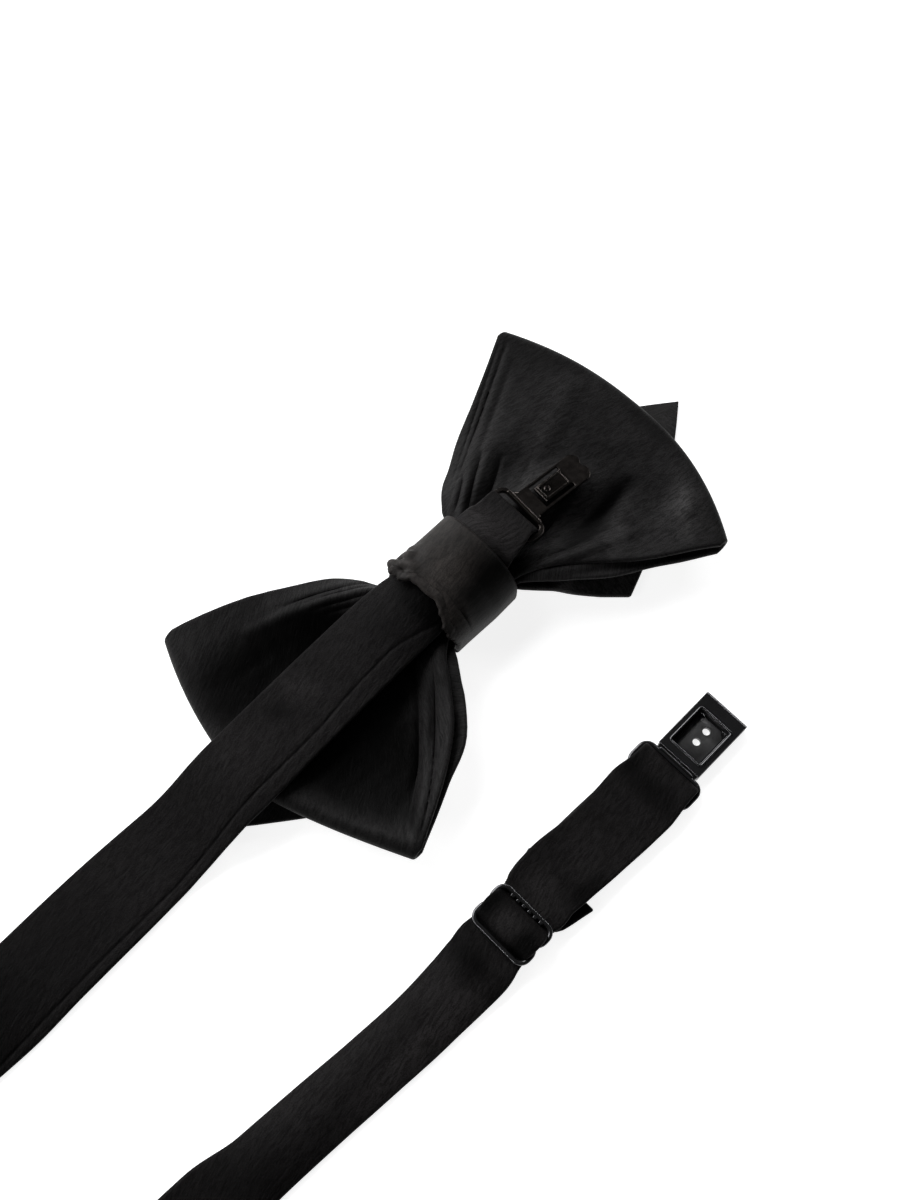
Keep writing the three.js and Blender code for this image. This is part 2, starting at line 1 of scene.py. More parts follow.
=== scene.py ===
# %% [markdown]
# # A diamond point bow tie, lying face down
#
# This lesson dresses a pre-tied bow tie that lies on its face, so that the folded back loop, the wrapped knot, the
# neck strap and its three metal fittings all show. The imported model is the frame: it has the right sizes, and every
# piece made here stands in the same place as the solid that it replaces.

# %% Load the frame
import math
import bpy
import numpy as np
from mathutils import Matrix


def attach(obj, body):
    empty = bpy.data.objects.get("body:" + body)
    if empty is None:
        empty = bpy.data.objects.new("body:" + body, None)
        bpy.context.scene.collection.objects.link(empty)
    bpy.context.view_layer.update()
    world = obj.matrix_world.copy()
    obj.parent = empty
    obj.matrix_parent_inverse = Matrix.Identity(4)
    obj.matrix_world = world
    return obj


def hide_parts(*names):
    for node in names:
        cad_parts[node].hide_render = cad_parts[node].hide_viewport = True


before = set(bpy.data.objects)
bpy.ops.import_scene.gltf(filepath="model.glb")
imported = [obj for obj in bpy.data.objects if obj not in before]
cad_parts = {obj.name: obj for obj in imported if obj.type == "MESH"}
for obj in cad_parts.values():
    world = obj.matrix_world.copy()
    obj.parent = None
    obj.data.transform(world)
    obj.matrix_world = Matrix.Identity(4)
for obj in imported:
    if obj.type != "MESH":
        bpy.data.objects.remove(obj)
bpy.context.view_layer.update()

scene = bpy.context.scene
MM = 0.001
print("nodes:", ", ".join(sorted(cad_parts)))

# %% [markdown]
# ## The camera
#
# The bow tie is seen from above, with the camera tilted a little from straight down and the bow's long axis turned
# to run up and to the right. The camera comes first, so that all that follows can be looked at through it.

# %% Place the camera
CAMERA_PLACE = (-0.0784, -0.0768, 0.2904)
CAMERA_TILT = 21.0  # degrees from straight down
CAMERA_TURN = -45.0
camera_data = bpy.data.cameras.new("camera")
camera_data.lens = 42.0
camera_data.sensor_width = 36.0
camera_data.clip_start = 0.01
camera = bpy.data.objects.new("camera", camera_data)
camera.location = CAMERA_PLACE
camera.rotation_euler = (math.radians(CAMERA_TILT), 0, math.radians(CAMERA_TURN))
scene.collection.objects.link(camera)
scene.camera = camera
print("camera", CAMERA_PLACE, "mm lens", camera_data.lens)

# %% [markdown]
# ## Tables and smooth curves
#
# The shape of cloth is written down as short tables with a row for each section. A smooth curve through the rows
# gives the values in between. It never swings past the rows' own values, so an edge doesn't ripple. A bell, which is
# 1 in the middle and fades out softly, is the other shape that cloth is full of: folds, dents and creases.


# %% Tables
def table(columns, rows):
    """Rows of numbers as one array for each named column."""
    return dict(zip(columns.split(), np.array(rows, float).T))


def smooth(rows, key, column, at):
    """A column's value at places along the key column, on a smooth curve through the rows."""
    x, y = rows[key], rows[column]
    at = np.clip(np.asarray(at, float), x[0], x[-1])
    rise = np.diff(y) / np.diff(x)
    both = rise[:-1] * rise[1:]
    total = np.where(both > 0, rise[:-1] + rise[1:], 1)
    inner = np.where(both > 0, 2 * both / total, 0)
    slope = np.concatenate([rise[:1], inner, rise[-1:]])
    i = np.clip(np.searchsorted(x, at, side="left") - 1, 0, len(x) - 2)
    span = x[i + 1] - x[i]
    t = (at - x[i]) / span
    hump = t * (1 - t) * span
    return y[i] + (y[i + 1] - y[i]) * t * t * (3 - 2 * t) + hump * (slope[i] * (1 - t) - slope[i + 1] * t)


def bell(distance, width):
    """1 at no distance, fading softly over the width."""
    return np.exp(-((distance / width) ** 2))


print("a curve through two rows:", smooth(table("x y", [[0, 0], [1, 2]]), "x", "y", [0.25, 0.5]))

# %% [markdown]
# ## A sheet of cloth as a closed wall
#
# Satin folded for a bow is a soft wall about a millimetre thick with a round edge. A plain grid of middle points
# could take a Solidify modifier, but its rim would be square, and on black satin the round rim is what catches the
# light. So each row of the grid becomes one closed section: the upper face, a half-round rim, the lower face and the
# other rim. The UV map holds the distance along and across the cloth, in centimetres, for the weave to follow. A
# number for each vertex, kept as an attribute, is painted light and shade: the material scales the satin's colour by
# it, lighter where a sheen is painted and darker where shade is painted.


# %% Cloth walls
RIM_STEPS = 5
END_ANGLES = np.radians([80, 60, 40, 20])  # rounding of a free end


def unit(vectors):
    """Vectors of length one."""
    return vectors / np.maximum(np.linalg.norm(vectors, axis=-1, keepdims=True), 1e-9)


def slopes(grid, closed):
    """Directions along and across a grid of points."""
    if closed:
        along = np.roll(grid, -1, 0) - np.roll(grid, 1, 0)
    else:
        along = np.gradient(grid, axis=0)
    return unit(along), unit(np.gradient(grid, axis=1))


def sections(grid, thickness, closed):
    """The closed section of every row, with rounded rims, and rounded ends where the grid isn't a ring."""
    along, across = slopes(grid, closed)
    normal = unit(np.cross(along, across))
    half = thickness / 2
    turns = np.pi * (np.arange(RIM_STEPS) + 1) / (RIM_STEPS + 1)

    def ring(middle, n, out, height):
        lift = n * (half * height)[..., None] if np.ndim(height) else n * half * height
        right = [middle[:, -1] + half * height * (n[:, -1] * np.cos(a) + out[:, -1] * np.sin(a)) for a in turns]
        left = [middle[:, 0] + half * height * (-n[:, 0] * np.cos(a) - out[:, 0] * np.sin(a)) for a in turns]
        return np.concatenate(
            [middle + lift, np.stack(right, 1), (middle - lift)[:, ::-1], np.stack(left, 1)], axis=1
        )

    body = ring(grid, normal, across, 1.0)
    if closed:
        return body
    ends = []
    for row, way in ((0, -1), (-1, 1)):
        middle, n, out, outward = (a[row][None] for a in (grid, normal, across, along * way))
        ends.append(np.concatenate(
            [ring(middle + outward * half * np.sin(a), n, out, np.cos(a)) for a in END_ANGLES]
        ))
    return np.concatenate([ends[0], body, ends[1][::-1]])


def fall_to_y(grid, closed=False):
    """How steeply the cloth falls towards +Y, seen from above."""
    normal = np.cross(*slopes(grid, closed))
    side = np.where(normal[..., 2] < 0, -1, 1)
    return normal[..., 1] * side / np.maximum(np.abs(normal[..., 2]), 0.15)


def around_section(values, closed):
    """Values of a grid carried round the sections and over the rounded ends."""
    ends = 0 if closed else len(END_ANGLES)
    right, left = np.repeat(values[:, -1:], RIM_STEPS, 1), np.repeat(values[:, :1], RIM_STEPS, 1)
    rows = np.concatenate([values, right, values[:, ::-1], left], axis=1)
    return np.concatenate([rows[:1]] * ends + [rows] + [rows[-1:]] * ends)


def paint(mesh, name, values):
    """A number for each vertex of a mesh, for its material to read."""
    mesh.attributes.new(name, "FLOAT", "POINT").data.foreach_set("value", values.ravel())


def only(piece):
    """Selects one piece and nothing else."""
    bpy.ops.object.select_all(action="DESELECT")
    piece.select_set(True)
    bpy.context.view_layer.objects.active = piece


# %% A cloth wall as an object
# Bounds of the painted light and shade, the number that scales the satin's colour
LEAST_PAINTED_LIGHT_AND_SHADE, MOST_PAINTED_LIGHT_AND_SHADE = 0.05, 4.0


def cloth_wall(name, grid, thickness, painted_light_and_shade, closed=False):
    """A closed mesh piece from a grid of middle points in millimetres."""
    points = sections(grid, thickness, closed)
    rows, around, _ = points.shape
    i, j = np.meshgrid(np.arange(rows if closed else rows - 1), np.arange(around), indexing="ij")
    i2, j2 = (i + 1) % rows, (j + 1) % around
    faces = np.stack([i * around + j, i * around + j2, i2 * around + j2, i2 * around + j], -1).reshape(-1, 4)
    faces = [tuple(f) for f in faces.tolist()]
    if not closed:
        faces.append(tuple(range(around - 1, -1, -1)))
        faces.append(tuple((rows - 1) * around + k for k in range(around)))
    mesh = bpy.data.meshes.new(name)
    mesh.from_pydata((points.reshape(-1, 3) * MM).tolist(), [], faces)

    step = np.linalg.norm(np.diff(points, axis=0), axis=2).mean(1)
    far = np.concatenate([[0], np.cumsum(step)])
    steps_across = np.linalg.norm(np.diff(points, axis=1), axis=2)
    wide = np.concatenate([np.zeros((rows, 1)), np.cumsum(steps_across, 1)], 1)
    index = np.zeros(len(mesh.loops), int)
    mesh.loops.foreach_get("vertex_index", index)
    row, place = index // around, index % around
    uv = np.stack([far[row], wide[row, place]], -1) / 10
    mesh.uv_layers.new(name="cloth").data.foreach_set("uv", uv.ravel())
    # The painted light and shade goes on the mesh as an attribute for the material to read
    paint(mesh, "painted_light_and_shade", around_section(np.clip(painted_light_and_shade, LEAST_PAINTED_LIGHT_AND_SHADE, MOST_PAINTED_LIGHT_AND_SHADE), closed))

    piece = bpy.data.objects.new(name, mesh)
    scene.collection.objects.link(piece)
    only(piece)
    bpy.ops.object.mode_set(mode="EDIT")
    bpy.ops.mesh.select_all(action="SELECT")
    bpy.ops.mesh.normals_make_consistent(inside=False)
    bpy.ops.object.mode_set(mode="OBJECT")
    bpy.ops.object.shade_smooth()
    low, high = (np.round(corner((0, 1)), 1) for corner in (points.min, points.max))
    print(f"{name}: {len(mesh.polygons)} faces, box {low} to {high}")
    return piece


# %% [markdown]
# ## Folds and sheen
#
# Gathered satin has folds of many sizes. Each one is a soft ridge or valley along a curved line on the cloth, seen
# from above. A table names where the line starts, bends and ends, how wide the fold is and how high or deep. The
# fold fades in and out along its length, so it grows out of the cloth as a real one does.
#
# Satin also shines in broad patches, where its threads happen to lie towards the light. Here that sheen, and the shade
# between, are painted on as a number that scales the satin's colour: a plain value, more of it where the cloth falls
# towards the light, and oval spots from a table, which paint a sheen where they add and shade where they take away. A
# hollow is a patch with corners, inside which painted shade makes the satin nearly black.


# %% Ridges and valleys along lines
FOLD_COLUMNS = "x0 y0 x1 y1 x2 y2 width height"
LINE_POINTS = 33


def fold_heights(points, folds):
    """How far all the folds of a table lift each point of a grid."""
    flat = points[..., :2].reshape(-1, 2)
    lift = np.zeros(len(flat))
    t = np.linspace(0, 1, LINE_POINTS)
    for k in range(len(folds["x0"])):
        f = {name: folds[name][k] for name in folds}
        start, bend, end = (np.array([f["x%d" % n], f["y%d" % n]]) for n in range(3))
        through = 2 * bend - (start + end) / 2
        line = np.outer((1 - t) ** 2, start) + np.outer(2 * t * (1 - t), through) + np.outer(t * t, end)
        low, high = line.min(0) - 4 * f["width"], line.max(0) + 4 * f["width"]
        near = np.flatnonzero(((flat > low) & (flat < high)).all(1))
        gap = flat[near][:, None] - line[None]
        which = (gap**2).sum(2).argmin(1)
        gap = gap[np.arange(len(near)), which]
        along = np.gradient(line, axis=0)[which]
        pace = (along**2).sum(1)
        slide = np.clip((gap * along).sum(1) / pace, -0.5, 0.5)
        far = np.linalg.norm(gap - along * slide[:, None], axis=1)
        fade = np.sin(np.pi * np.clip(t[which] + slide / (len(t) - 1), 0, 1)) ** 0.6
        lift[near] += f["height"] * fade * bell(far, f["width"])
    return lift.reshape(points.shape[:-1])


# %% Spots, patches and ripples
SPOT_COLUMNS = "x y long wide turn amount"


def spots(points, rows):
    """Soft oval patches, each with a flat middle: how much they add at each point."""
    total = np.zeros(points.shape[:-1])
    for k in range(len(rows["x"])):
        r = {name: rows[name][k] for name in rows}
        dx, dy, a = points[..., 0] - r["x"], points[..., 1] - r["y"], math.radians(r["turn"])
        along = (dx * math.cos(a) + dy * math.sin(a)) / r["long"]
        across = (dy * math.cos(a) - dx * math.sin(a)) / r["wide"]
        total += r["amount"] * np.exp(-((along**2 + across**2) ** 1.6))
    return total


def patch(points, corners, soft):
    """A soft-edged patch inside corners that go round to the left: 1 well inside it and 0 outside."""
    inside = np.full(points.shape[:-1], np.inf)
    for (x0, y0), (x1, y1) in zip(corners, corners[1:] + corners[:1]):
        along = math.hypot(x1 - x0, y1 - y0)
        inside = np.minimum(inside, ((x1 - x0) * (points[..., 1] - y0) - (y1 - y0) * (points[..., 0] - x0)) / along)
    share = np.clip(inside / (2 * soft) + 0.5, 0, 1)
    return share * share * (3 - 2 * share)


def painted_sheen_and_shade(grid, plain, slope, rows, closed=False, steepest=0.6):
    """Painted sheen and shade: a plain value, more where it falls towards the light at +Y, and a table's spots."""
    return plain + slope * np.clip(fall_to_y(grid, closed), -steepest, steepest) + spots(grid, rows)


def ripples(points, sizes):
    """Small uneven waves, the same on every run."""
    x, y = points[..., 0], points[..., 1]
    wave = np.zeros(x.shape)
    for k, (length, height) in enumerate(sizes):
        a, b = 2.4 * k + 0.7, 1.7 * k + 2.1
        turn = x * math.cos(a) + y * math.sin(a)
        other = x * math.cos(b) - y * math.sin(b)
        wave += height * np.sin(2 * np.pi * turn / length + 3 * np.sin(2 * np.pi * other / (2.3 * length)) + k)
    return wave


# %% [markdown]
# ## The back loop
#
# The back of the bow is one wide tube of satin, folded flat and squeezed in the middle, so each wing has a back ply
# and a front ply that meet in a round fold at the wing's end. A share of 0 is the knot and 1 the folded end. The
# lower edge of the front ply hangs out below the back ply, which is why the edges show as a stack.

# %% Sizes of the back loop
PLY = 1.2
WINGS = {
    "right": dict(side=1, middle=62.4, high=54.2, low=50.8, bend_high=2.2, bend_low=2.2),
    "left": dict(side=-1, middle=59.4, high=51.2, low=46.2, bend_high=2.0, bend_low=1.25),
}
EDGES = {
    "right": table("share low high drop", [
        [0.0, -6.0, 8.6, 0.0], [0.17, -6.3, 8.8, 0.0], [0.23, -7.0, 15.2, 0.6], [0.3, -8.6, 19.0, 2.5],
        [0.38, -11.0, 21.2, 3.7], [0.5, -15.8, 24.8, 4.0], [0.7, -24.2, 29.6, 1.4], [1.0, -33.0, 37.4, 0.0],
    ]),
    "left": table("share low high drop", [
        [0.0, -6.0, 8.6, 0.0], [0.18, -6.2, 9.8, 0.8], [0.27, -8.6, 15.8, 3.8], [0.36, -13.8, 20.4, 4.4],
        [0.5, -21.0, 24.4, 3.6], [0.7, -27.2, 29.4, 1.2], [1.0, -34.0, 35.8, 0.0],
    ]),
}
print("wings reach", WINGS["right"]["middle"], "and", WINGS["left"]["middle"], "mm from the knot")

# %% Heights of the plies
ACROSS = [-1, -0.8, -0.55, -0.3, 0, 0.3, 0.55, 0.8, 1]


def relief_table(rows):
    """Heights at shares of a wing's length, one column for each place in ACROSS."""
    rows = np.array(rows, float)
    return {"share": rows[:, 0], "heights": rows[:, 1:]}


BACK_AT_KNOT = [
    [0.00, 8.9, 9.4, 10.2, 10.8, 11.0, 10.8, 10.2, 9.4, 8.9],
    [0.16, 9.4, 9.8, 10.6, 11.0, 11.1, 11.0, 10.6, 9.8, 9.4],
]
FRONT_AT_KNOT = [
    [0.00, 6.2, 6.4, 6.8, 7.0, 7.1, 7.0, 6.8, 6.4, 6.2],
    [0.16, 6.6, 6.6, 6.8, 6.9, 6.9, 6.9, 6.8, 6.5, 6.4],
]
FRONT_AT_END = [1.00, 5.6, 5.0, 4.6, 4.3, 4.2, 4.3, 4.6, 5.0, 5.6]
RELIEF = {
    ("right", "back"): relief_table([
        *BACK_AT_KNOT,
        [0.30, 11.0, 10.6, 10.5, 11.2, 11.9, 11.7, 11.3, 10.6, 10.2],
        [0.50, 11.6, 10.6, 10.0, 11.2, 12.2, 12.0, 11.6, 10.7, 10.0],
        [0.70, 12.0, 10.2, 9.4, 9.9, 10.6, 11.2, 11.5, 10.7, 9.8],
        [0.85, 11.6, 9.6, 8.9, 9.1, 9.6, 10.2, 10.6, 10.1, 9.6],
        [1.00, 9.8, 9.0, 8.4, 8.2, 8.0, 8.4, 8.8, 9.2, 9.6],
    ]),
    ("right", "front"): relief_table([
        *FRONT_AT_KNOT,
        [0.30, 9.4, 8.4, 6.8, 6.0, 6.0, 6.0, 6.0, 6.4, 6.6],
        [0.50, 10.0, 8.4, 5.4, 4.4, 4.2, 4.4, 4.8, 5.8, 6.4],
        [0.70, 9.6, 7.0, 4.6, 3.7, 3.5, 3.7, 4.2, 5.2, 5.8],
        [0.85, 7.4, 5.4, 3.9, 3.3, 3.2, 3.3, 3.8, 4.6, 5.4],
        FRONT_AT_END,
    ]),
    ("left", "back"): relief_table([
        *BACK_AT_KNOT,
        [0.30, 10.8, 10.2, 9.8, 10.6, 11.0, 10.6, 10.8, 11.6, 11.2],
        [0.50, 11.0, 7.8, 8.0, 9.2, 9.8, 9.0, 10.2, 12.4, 12.2],
        [0.70, 11.0, 6.2, 6.8, 7.9, 8.9, 7.8, 9.2, 12.0, 12.8],
        [0.85, 10.6, 6.3, 6.2, 6.9, 8.0, 7.4, 8.7, 11.2, 12.2],
        [0.93, 10.0, 7.0, 6.7, 7.2, 7.7, 7.5, 8.5, 10.6, 11.4],
        [1.00, 9.4, 9.0, 8.2, 7.9, 7.8, 7.9, 8.6, 9.8, 10.0],
    ]),
    ("left", "front"): relief_table([
        *FRONT_AT_KNOT,
        [0.30, 9.2, 8.0, 6.6, 6.0, 6.0, 6.0, 6.0, 6.4, 6.6],
        [0.50, 9.4, 6.6, 4.6, 4.2, 4.2, 4.4, 4.8, 5.8, 6.4],
        [0.70, 8.8, 4.9, 3.8, 3.6, 3.5, 3.7, 4.2, 5.2, 5.8],
        [0.85, 6.8, 4.2, 3.3, 3.1, 3.1, 3.2, 3.8, 4.6, 5.4],
        FRONT_AT_END,
    ]),
}
DIAMOND_HEIGHT = table("share middle edge", [
    [0.0, 3.4, 3.7], [0.14, 3.3, 3.5], [0.24, 1.4, 1.6], [0.4, 0.6, 0.8], [1.0, 0.6, 0.6],
])
PLEATS = table("share height", [[0.0, 0.7], [0.16, 0.9], [0.3, 1.2], [0.5, 0.8], [0.72, 0.0], [1.0, 0.0]])
WAVES_ACROSS = 2.5
print("heights for", " / ".join(" ".join(name) for name in RELIEF))

# %% Folds of the two back plies
RIGHT_FOLDS = table(FOLD_COLUMNS, [
    [58.5, 19.5, 47.0, 13.4, 30.0, 8.0, 2.6, 0.55],
    [55.0, 14.0, 46.0, 9.0, 34.0, 6.0, 3.0, -0.15],
    [47.0, -8.4, 36.0, -10.2, 22.0, -8.6, 2.2, -1.1],
    [59.0, -8.0, 55.5, -20.0, 40.0, -22.0, 3.2, 1.5],
    [30.0, 15.4, 23.0, 11.4, 13.0, 7.0, 0.8, -0.6],
    [28.0, 18.6, 20.0, 14.4, 12.0, 9.4, 0.7, -0.8],
    [22.0, 18.6, 17.0, 15.2, 11.0, 11.4, 0.6, -0.8],
    [36.0, 11.0, 26.0, 6.4, 13.0, 3.6, 1.2, -0.3],
    [30.0, -3.0, 20.0, -4.4, 11.0, -4.0, 0.9, -0.9],
    [36.0, -14.0, 24.0, -11.2, 11.0, -5.6, 1.0, -0.8],
    [40.0, -19.0, 26.0, -14.0, 12.0, -7.0, 1.2, 0.6],
    [56.0, 37.2, 37.0, 27.2, 12.0, 14.2, 0.5, -0.5],
    [55.0, 38.6, 37.0, 28.8, 14.0, 16.2, 0.4, -0.35],
    [50.0, 31.0, 34.0, 22.6, 14.0, 12.4, 0.9, -0.3],
])
LEFT_FOLDS = table(FOLD_COLUMNS, [
    [-47.0, -34.0, -31.5, -22.8, -14.0, -4.0, 1.0, 0.9],
    [-45.0, -31.0, -30.0, -19.6, -15.0, -4.0, 1.2, -1.0],
    [-30.0, 22.4, -20.0, 18.2, -9.0, 11.8, 0.55, -0.6],
    [-27.0, 20.0, -18.0, 16.0, -9.0, 10.4, 0.55, -0.7],
    [-26.0, 18.0, -17.0, 13.6, -9.0, 9.0, 0.55, -0.7],
    [-24.0, 15.6, -16.0, 11.6, -9.0, 7.6, 0.55, -0.6],
    [-40.0, 24.4, -28.0, 19.6, -18.0, 14.6, 1.2, 0.5],
    [-43.0, -32.6, -29.0, -23.2, -12.6, -6.0, 0.5, -0.7],
])
FRONT_FOLDS = table(FOLD_COLUMNS, [
    [11.0, -6.4, 22.5, -15.0, 42.0, -26.6, 1.3, 1.5],
    [-10.5, -6.6, -20.5, -17.6, -38.0, -28.4, 1.3, 1.5],
])
print(len(RIGHT_FOLDS["x0"]), "folds on the right wing,", len(LEFT_FOLDS["x0"]), "on the left")


# %% Shape of a ply
RIPPLES = [(19.0, 0.07), (9.0, 0.04), (5.0, 0.02)]  # lengths and heights
FOLD_STEPS = 9  # round the folded end of a wing


def relief(name, shares, across):
    """Heights of a ply on a grid of shares and places across."""
    rows = RELIEF[name]
    columns = [smooth({"share": rows["share"], "h": h}, "share", "h", shares) for h in rows["heights"].T]
    places = np.array(ACROSS, float)
    return np.stack([smooth({"a": places, "h": h}, "a", "h", across) for h in np.stack(columns, 1)])


def pleat_wave(across):
    """Waves across a ply, for the pleats at the knot."""
    return np.cos(np.pi * WAVES_ACROSS * (across + 0.1))


def fold_radius(wing, across):
    """Radius of the round fold that joins the two plies at the wing's end."""
    return (relief((wing, "back"), [1.0], across)[0] - relief((wing, "front"), [1.0], across)[0]) / 2


def ply(wing, layer, shares, across):
    """Middle points of one ply of a wing, with its folds."""
    w = WINGS[wing]
    share, place = np.meshgrid(shares, across, indexing="ij")
    corner = np.where(place > 0, w["high"], w["low"])
    bend = np.where(place > 0, w["bend_high"], w["bend_low"])
    reach = w["middle"] - (w["middle"] - corner) * np.abs(place) ** bend - fold_radius(wing, across)
    low = smooth(EDGES[wing], "share", "low", share)
    if layer == "front":
        low = low - smooth(EDGES[wing], "share", "drop", share)
    high = smooth(EDGES[wing], "share", "high", share)
    y = (low + high) / 2 + place * (high - low) / 2
    z = relief((wing, layer), shares, across) + smooth(PLEATS, "share", "height", share) * pleat_wave(place)
    points = np.stack([w["side"] * share * reach, y, z], -1)
    if layer == "front":
        points[..., 2] += fold_heights(points, FRONT_FOLDS)
    else:
        folds = RIGHT_FOLDS if wing == "right" else LEFT_FOLDS
        fade = np.clip((1 - share) / 0.06, 0, 1) * np.clip((share - 0.14) / 0.08, 0, 1)
        points[..., 2] += fold_heights(points, folds) * fade
        points[..., 2] += ripples(points, RIPPLES) * fade
    return points


def fold_end(wing, across):
    """The round fold at the end of a wing, from the back ply down to the front ply."""
    back, front = (ply(wing, layer, [1.0], across)[0] for layer in ("back", "front"))
    radius = fold_radius(wing, across)
    rows = []
    for angle in np.pi * np.arange(1, FOLD_STEPS) / FOLD_STEPS:
        row = back.copy()
        row[:, 0] += WINGS[wing]["side"] * radius * np.sin(angle)
        row[:, 2] = (back[:, 2] + front[:, 2]) / 2 + (back[:, 2] - front[:, 2]) / 2 * np.cos(angle)
        rows.append(row)
    return np.stack(rows)


# %% Make the back loop
across = np.linspace(-1, 1, 151)
fine = np.linspace(0, 1, 96)
coarse = np.linspace(0, 1, 30)
back_loop_grid = np.concatenate([
    ply("right", "back", fine, across), fold_end("right", across), ply("right", "front", coarse[::-1], across),
    ply("left", "front", coarse[1:], across), fold_end("left", across)[::-1], ply("left", "back", fine[:0:-1], across),
])
print("the back loop's grid has", back_loop_grid.shape[0], "rows")

# %% Painted sheen and shade of the back loop
# Spots of painted sheen (positive amounts) and painted shade (negative amounts) on the wings
WING_PAINTED_LIGHT_AND_SHADE = table(SPOT_COLUMNS, [
    [31.0, -6.0, 9.0, 5.0, 10, 0.9], [50.0, 12.0, 14.0, 9.0, 20, 0.2], [36.0, 1.0, 9.0, 5.0, 0, 0.35],
    [49.0, -20.0, 9.0, 3.6, 30, 0.35], [18.0, -7.0, 5.0, 3.0, -20, 0.9], [50.0, 29.0, 12.0, 7.0, 30, -0.25],
    [-15.5, 14.5, 6.0, 3.4, -35, 0.7], [40.0, -8.0, 9.0, 3.4, -10, -0.45], [57.0, -28.0, 5.0, 4.0, 0, -0.4],
    [30.0, 1.0, 7.0, 5.0, 0, 1.0], [50.0, 7.0, 9.0, 4.0, 20, -0.3], [-58.0, 15.5, 2.6, 6.0, 0, 0.4],
    [49.0, -23.4, 6.4, 3.2, 30, 1.4], [31.0, -10.0, 7.0, 2.4, 0, -1.3], [33.0, -16.4, 5.0, 2.2, 35, 0.7],
    [57.0, 21.0, 4.0, 6.0, 20, -0.35], [60.5, -3.0, 3.0, 9.0, 0, -0.45],
])
# Corners of the left wing's hollows, where painted shade makes the satin nearly black
LOWER_HOLLOW_SHADE = [(-52.6, -4.0), (-49.6, -18.0), (-41.8, -31.4), (-17.2, -4.2)]
UPPER_HOLLOW_SHADE = [(-22.0, 11.0), (-20.6, 14.2), (-28.0, 20.6), (-51.0, 23.4), (-55.4, 18.0), (-54.2, 11.0)]
loop_painted_light_and_shade = painted_sheen_and_shade(back_loop_grid, 0.78, 0.7, WING_PAINTED_LIGHT_AND_SHADE, closed=True)
for corners, depth, soft in ((LOWER_HOLLOW_SHADE, 0.93, 2.8), (UPPER_HOLLOW_SHADE, 0.86, 3.4)):
    loop_painted_light_and_shade *= 1 - depth * patch(back_loop_grid, corners, soft)
front_start = len(fine) + FOLD_STEPS - 1
front_rows = slice(front_start, front_start + 2 * len(coarse) - 1)
# Painted light on the front plies, more towards their lower edges, which lie in the back ply's shadow
loop_painted_light_and_shade[front_rows] = 0.9 + 0.9 * np.clip(-across - 0.3, 0, 0.6)
back_loop = cloth_wall("back_loop_cloth", back_loop_grid, PLY, loop_painted_light_and_shade, closed=True)

# %% [markdown]
# ## The front layer
#
# In front lies a flat layer whose two ends are cut to a point, the diamond that gives this bow its name. It lies on
# the table here, so only its points and its lower edges look out from under the back loop.

# %% Make the front diamond
DIAMOND = dict(middle=-0.8, half=24.6, knot_reach=9.2, knot_low=-5.4, knot_high=8.2)
# Which way each end points, how long it is and how it bulges
DIAMOND_SIDES = {"right": (1, 1.0, 1.0), "left": (-1, 0.945, 0.8)}
DIAMOND_HOLD = 0.14
DIAMOND_REACH = table("share reach", [[0.0, 72.8], [0.2, 66.2], [0.6, 51.5], [0.86, 38.5], [1.0, 29.2]])
DIAMOND_CURL = table("share lift", [[0.0, 0.0], [0.12, 1.5], [0.22, 5.5], [0.4, 6.0], [0.6, 2.5], [0.8, 0.0]])


def diamond_side(name, shares, across):
    """One pointed end of the front layer."""
    side, scale, bulge = DIAMOND_SIDES[name]
    share, place = np.meshgrid(shares, across, indexing="ij")
    reach = scale * smooth(DIAMOND_REACH, "share", "reach", np.abs(place))
    out_y = DIAMOND["middle"] + place * DIAMOND["half"]
    low, high = DIAMOND["knot_low"], DIAMOND["knot_high"]
    knot_y = (low + high) / 2 + place * (high - low) / 2
    free = np.clip((share - DIAMOND_HOLD) / (1 - DIAMOND_HOLD), 0, 1)
    held = np.minimum(1, share / DIAMOND_HOLD)
    x = DIAMOND["knot_reach"] * held + (reach - DIAMOND["knot_reach"]) * free
    wave = 0.3 * smooth(PLEATS, "share", "height", share) * (1 + pleat_wave(place))
    middle = smooth(DIAMOND_HEIGHT, "share", "middle", share)
    height = middle + (smooth(DIAMOND_HEIGHT, "share", "edge", share) - middle) * np.abs(place) ** 2.4 + wave
    curl = smooth(DIAMOND_CURL, "share", "lift", share) * np.clip((-place - 0.5) / 0.5, 0, 1) ** 1.5
    return np.stack([side * x, knot_y + (out_y - knot_y) * free**bulge - 0.25 * curl, height + curl], -1)


diamond_across = np.linspace(-1, 1, 61)
diamond_shares = np.linspace(0, 1, 50)
diamond_grid = np.concatenate([
    diamond_side("left", diamond_shares[:0:-1], diamond_across), diamond_side("right", diamond_shares, diamond_across),
])
# Painted light on the diamond, more on its lower side near the knot, which lies in the shadow of the wings
near_knot = np.clip(1.4 - np.abs(diamond_grid[..., 0]) / 40, 0, 1)
diamond_painted_light_and_shade = 1.3 + 2.4 * np.clip(-diamond_across - 0.2, 0, 0.8) * near_knot
front_diamond = cloth_wall("front_diamond_cloth", diamond_grid, PLY, diamond_painted_light_and_shade)

# %% [markdown]
# ## The band round the knot
#
# A short strip of satin is wrapped round the middle and closed on itself. Its left edge is raw, so it is uneven and
# lifts a little, and its end is tucked in with a small crumple at the upper side. The ring is a rounded box in
# section, and its edge, dents and crumples are worked out for each angle round the knot: 0 degrees is its upper side,
# 90 its top as it lies, and 180 its lower side. The hidden front, at -90 degrees, is plain.

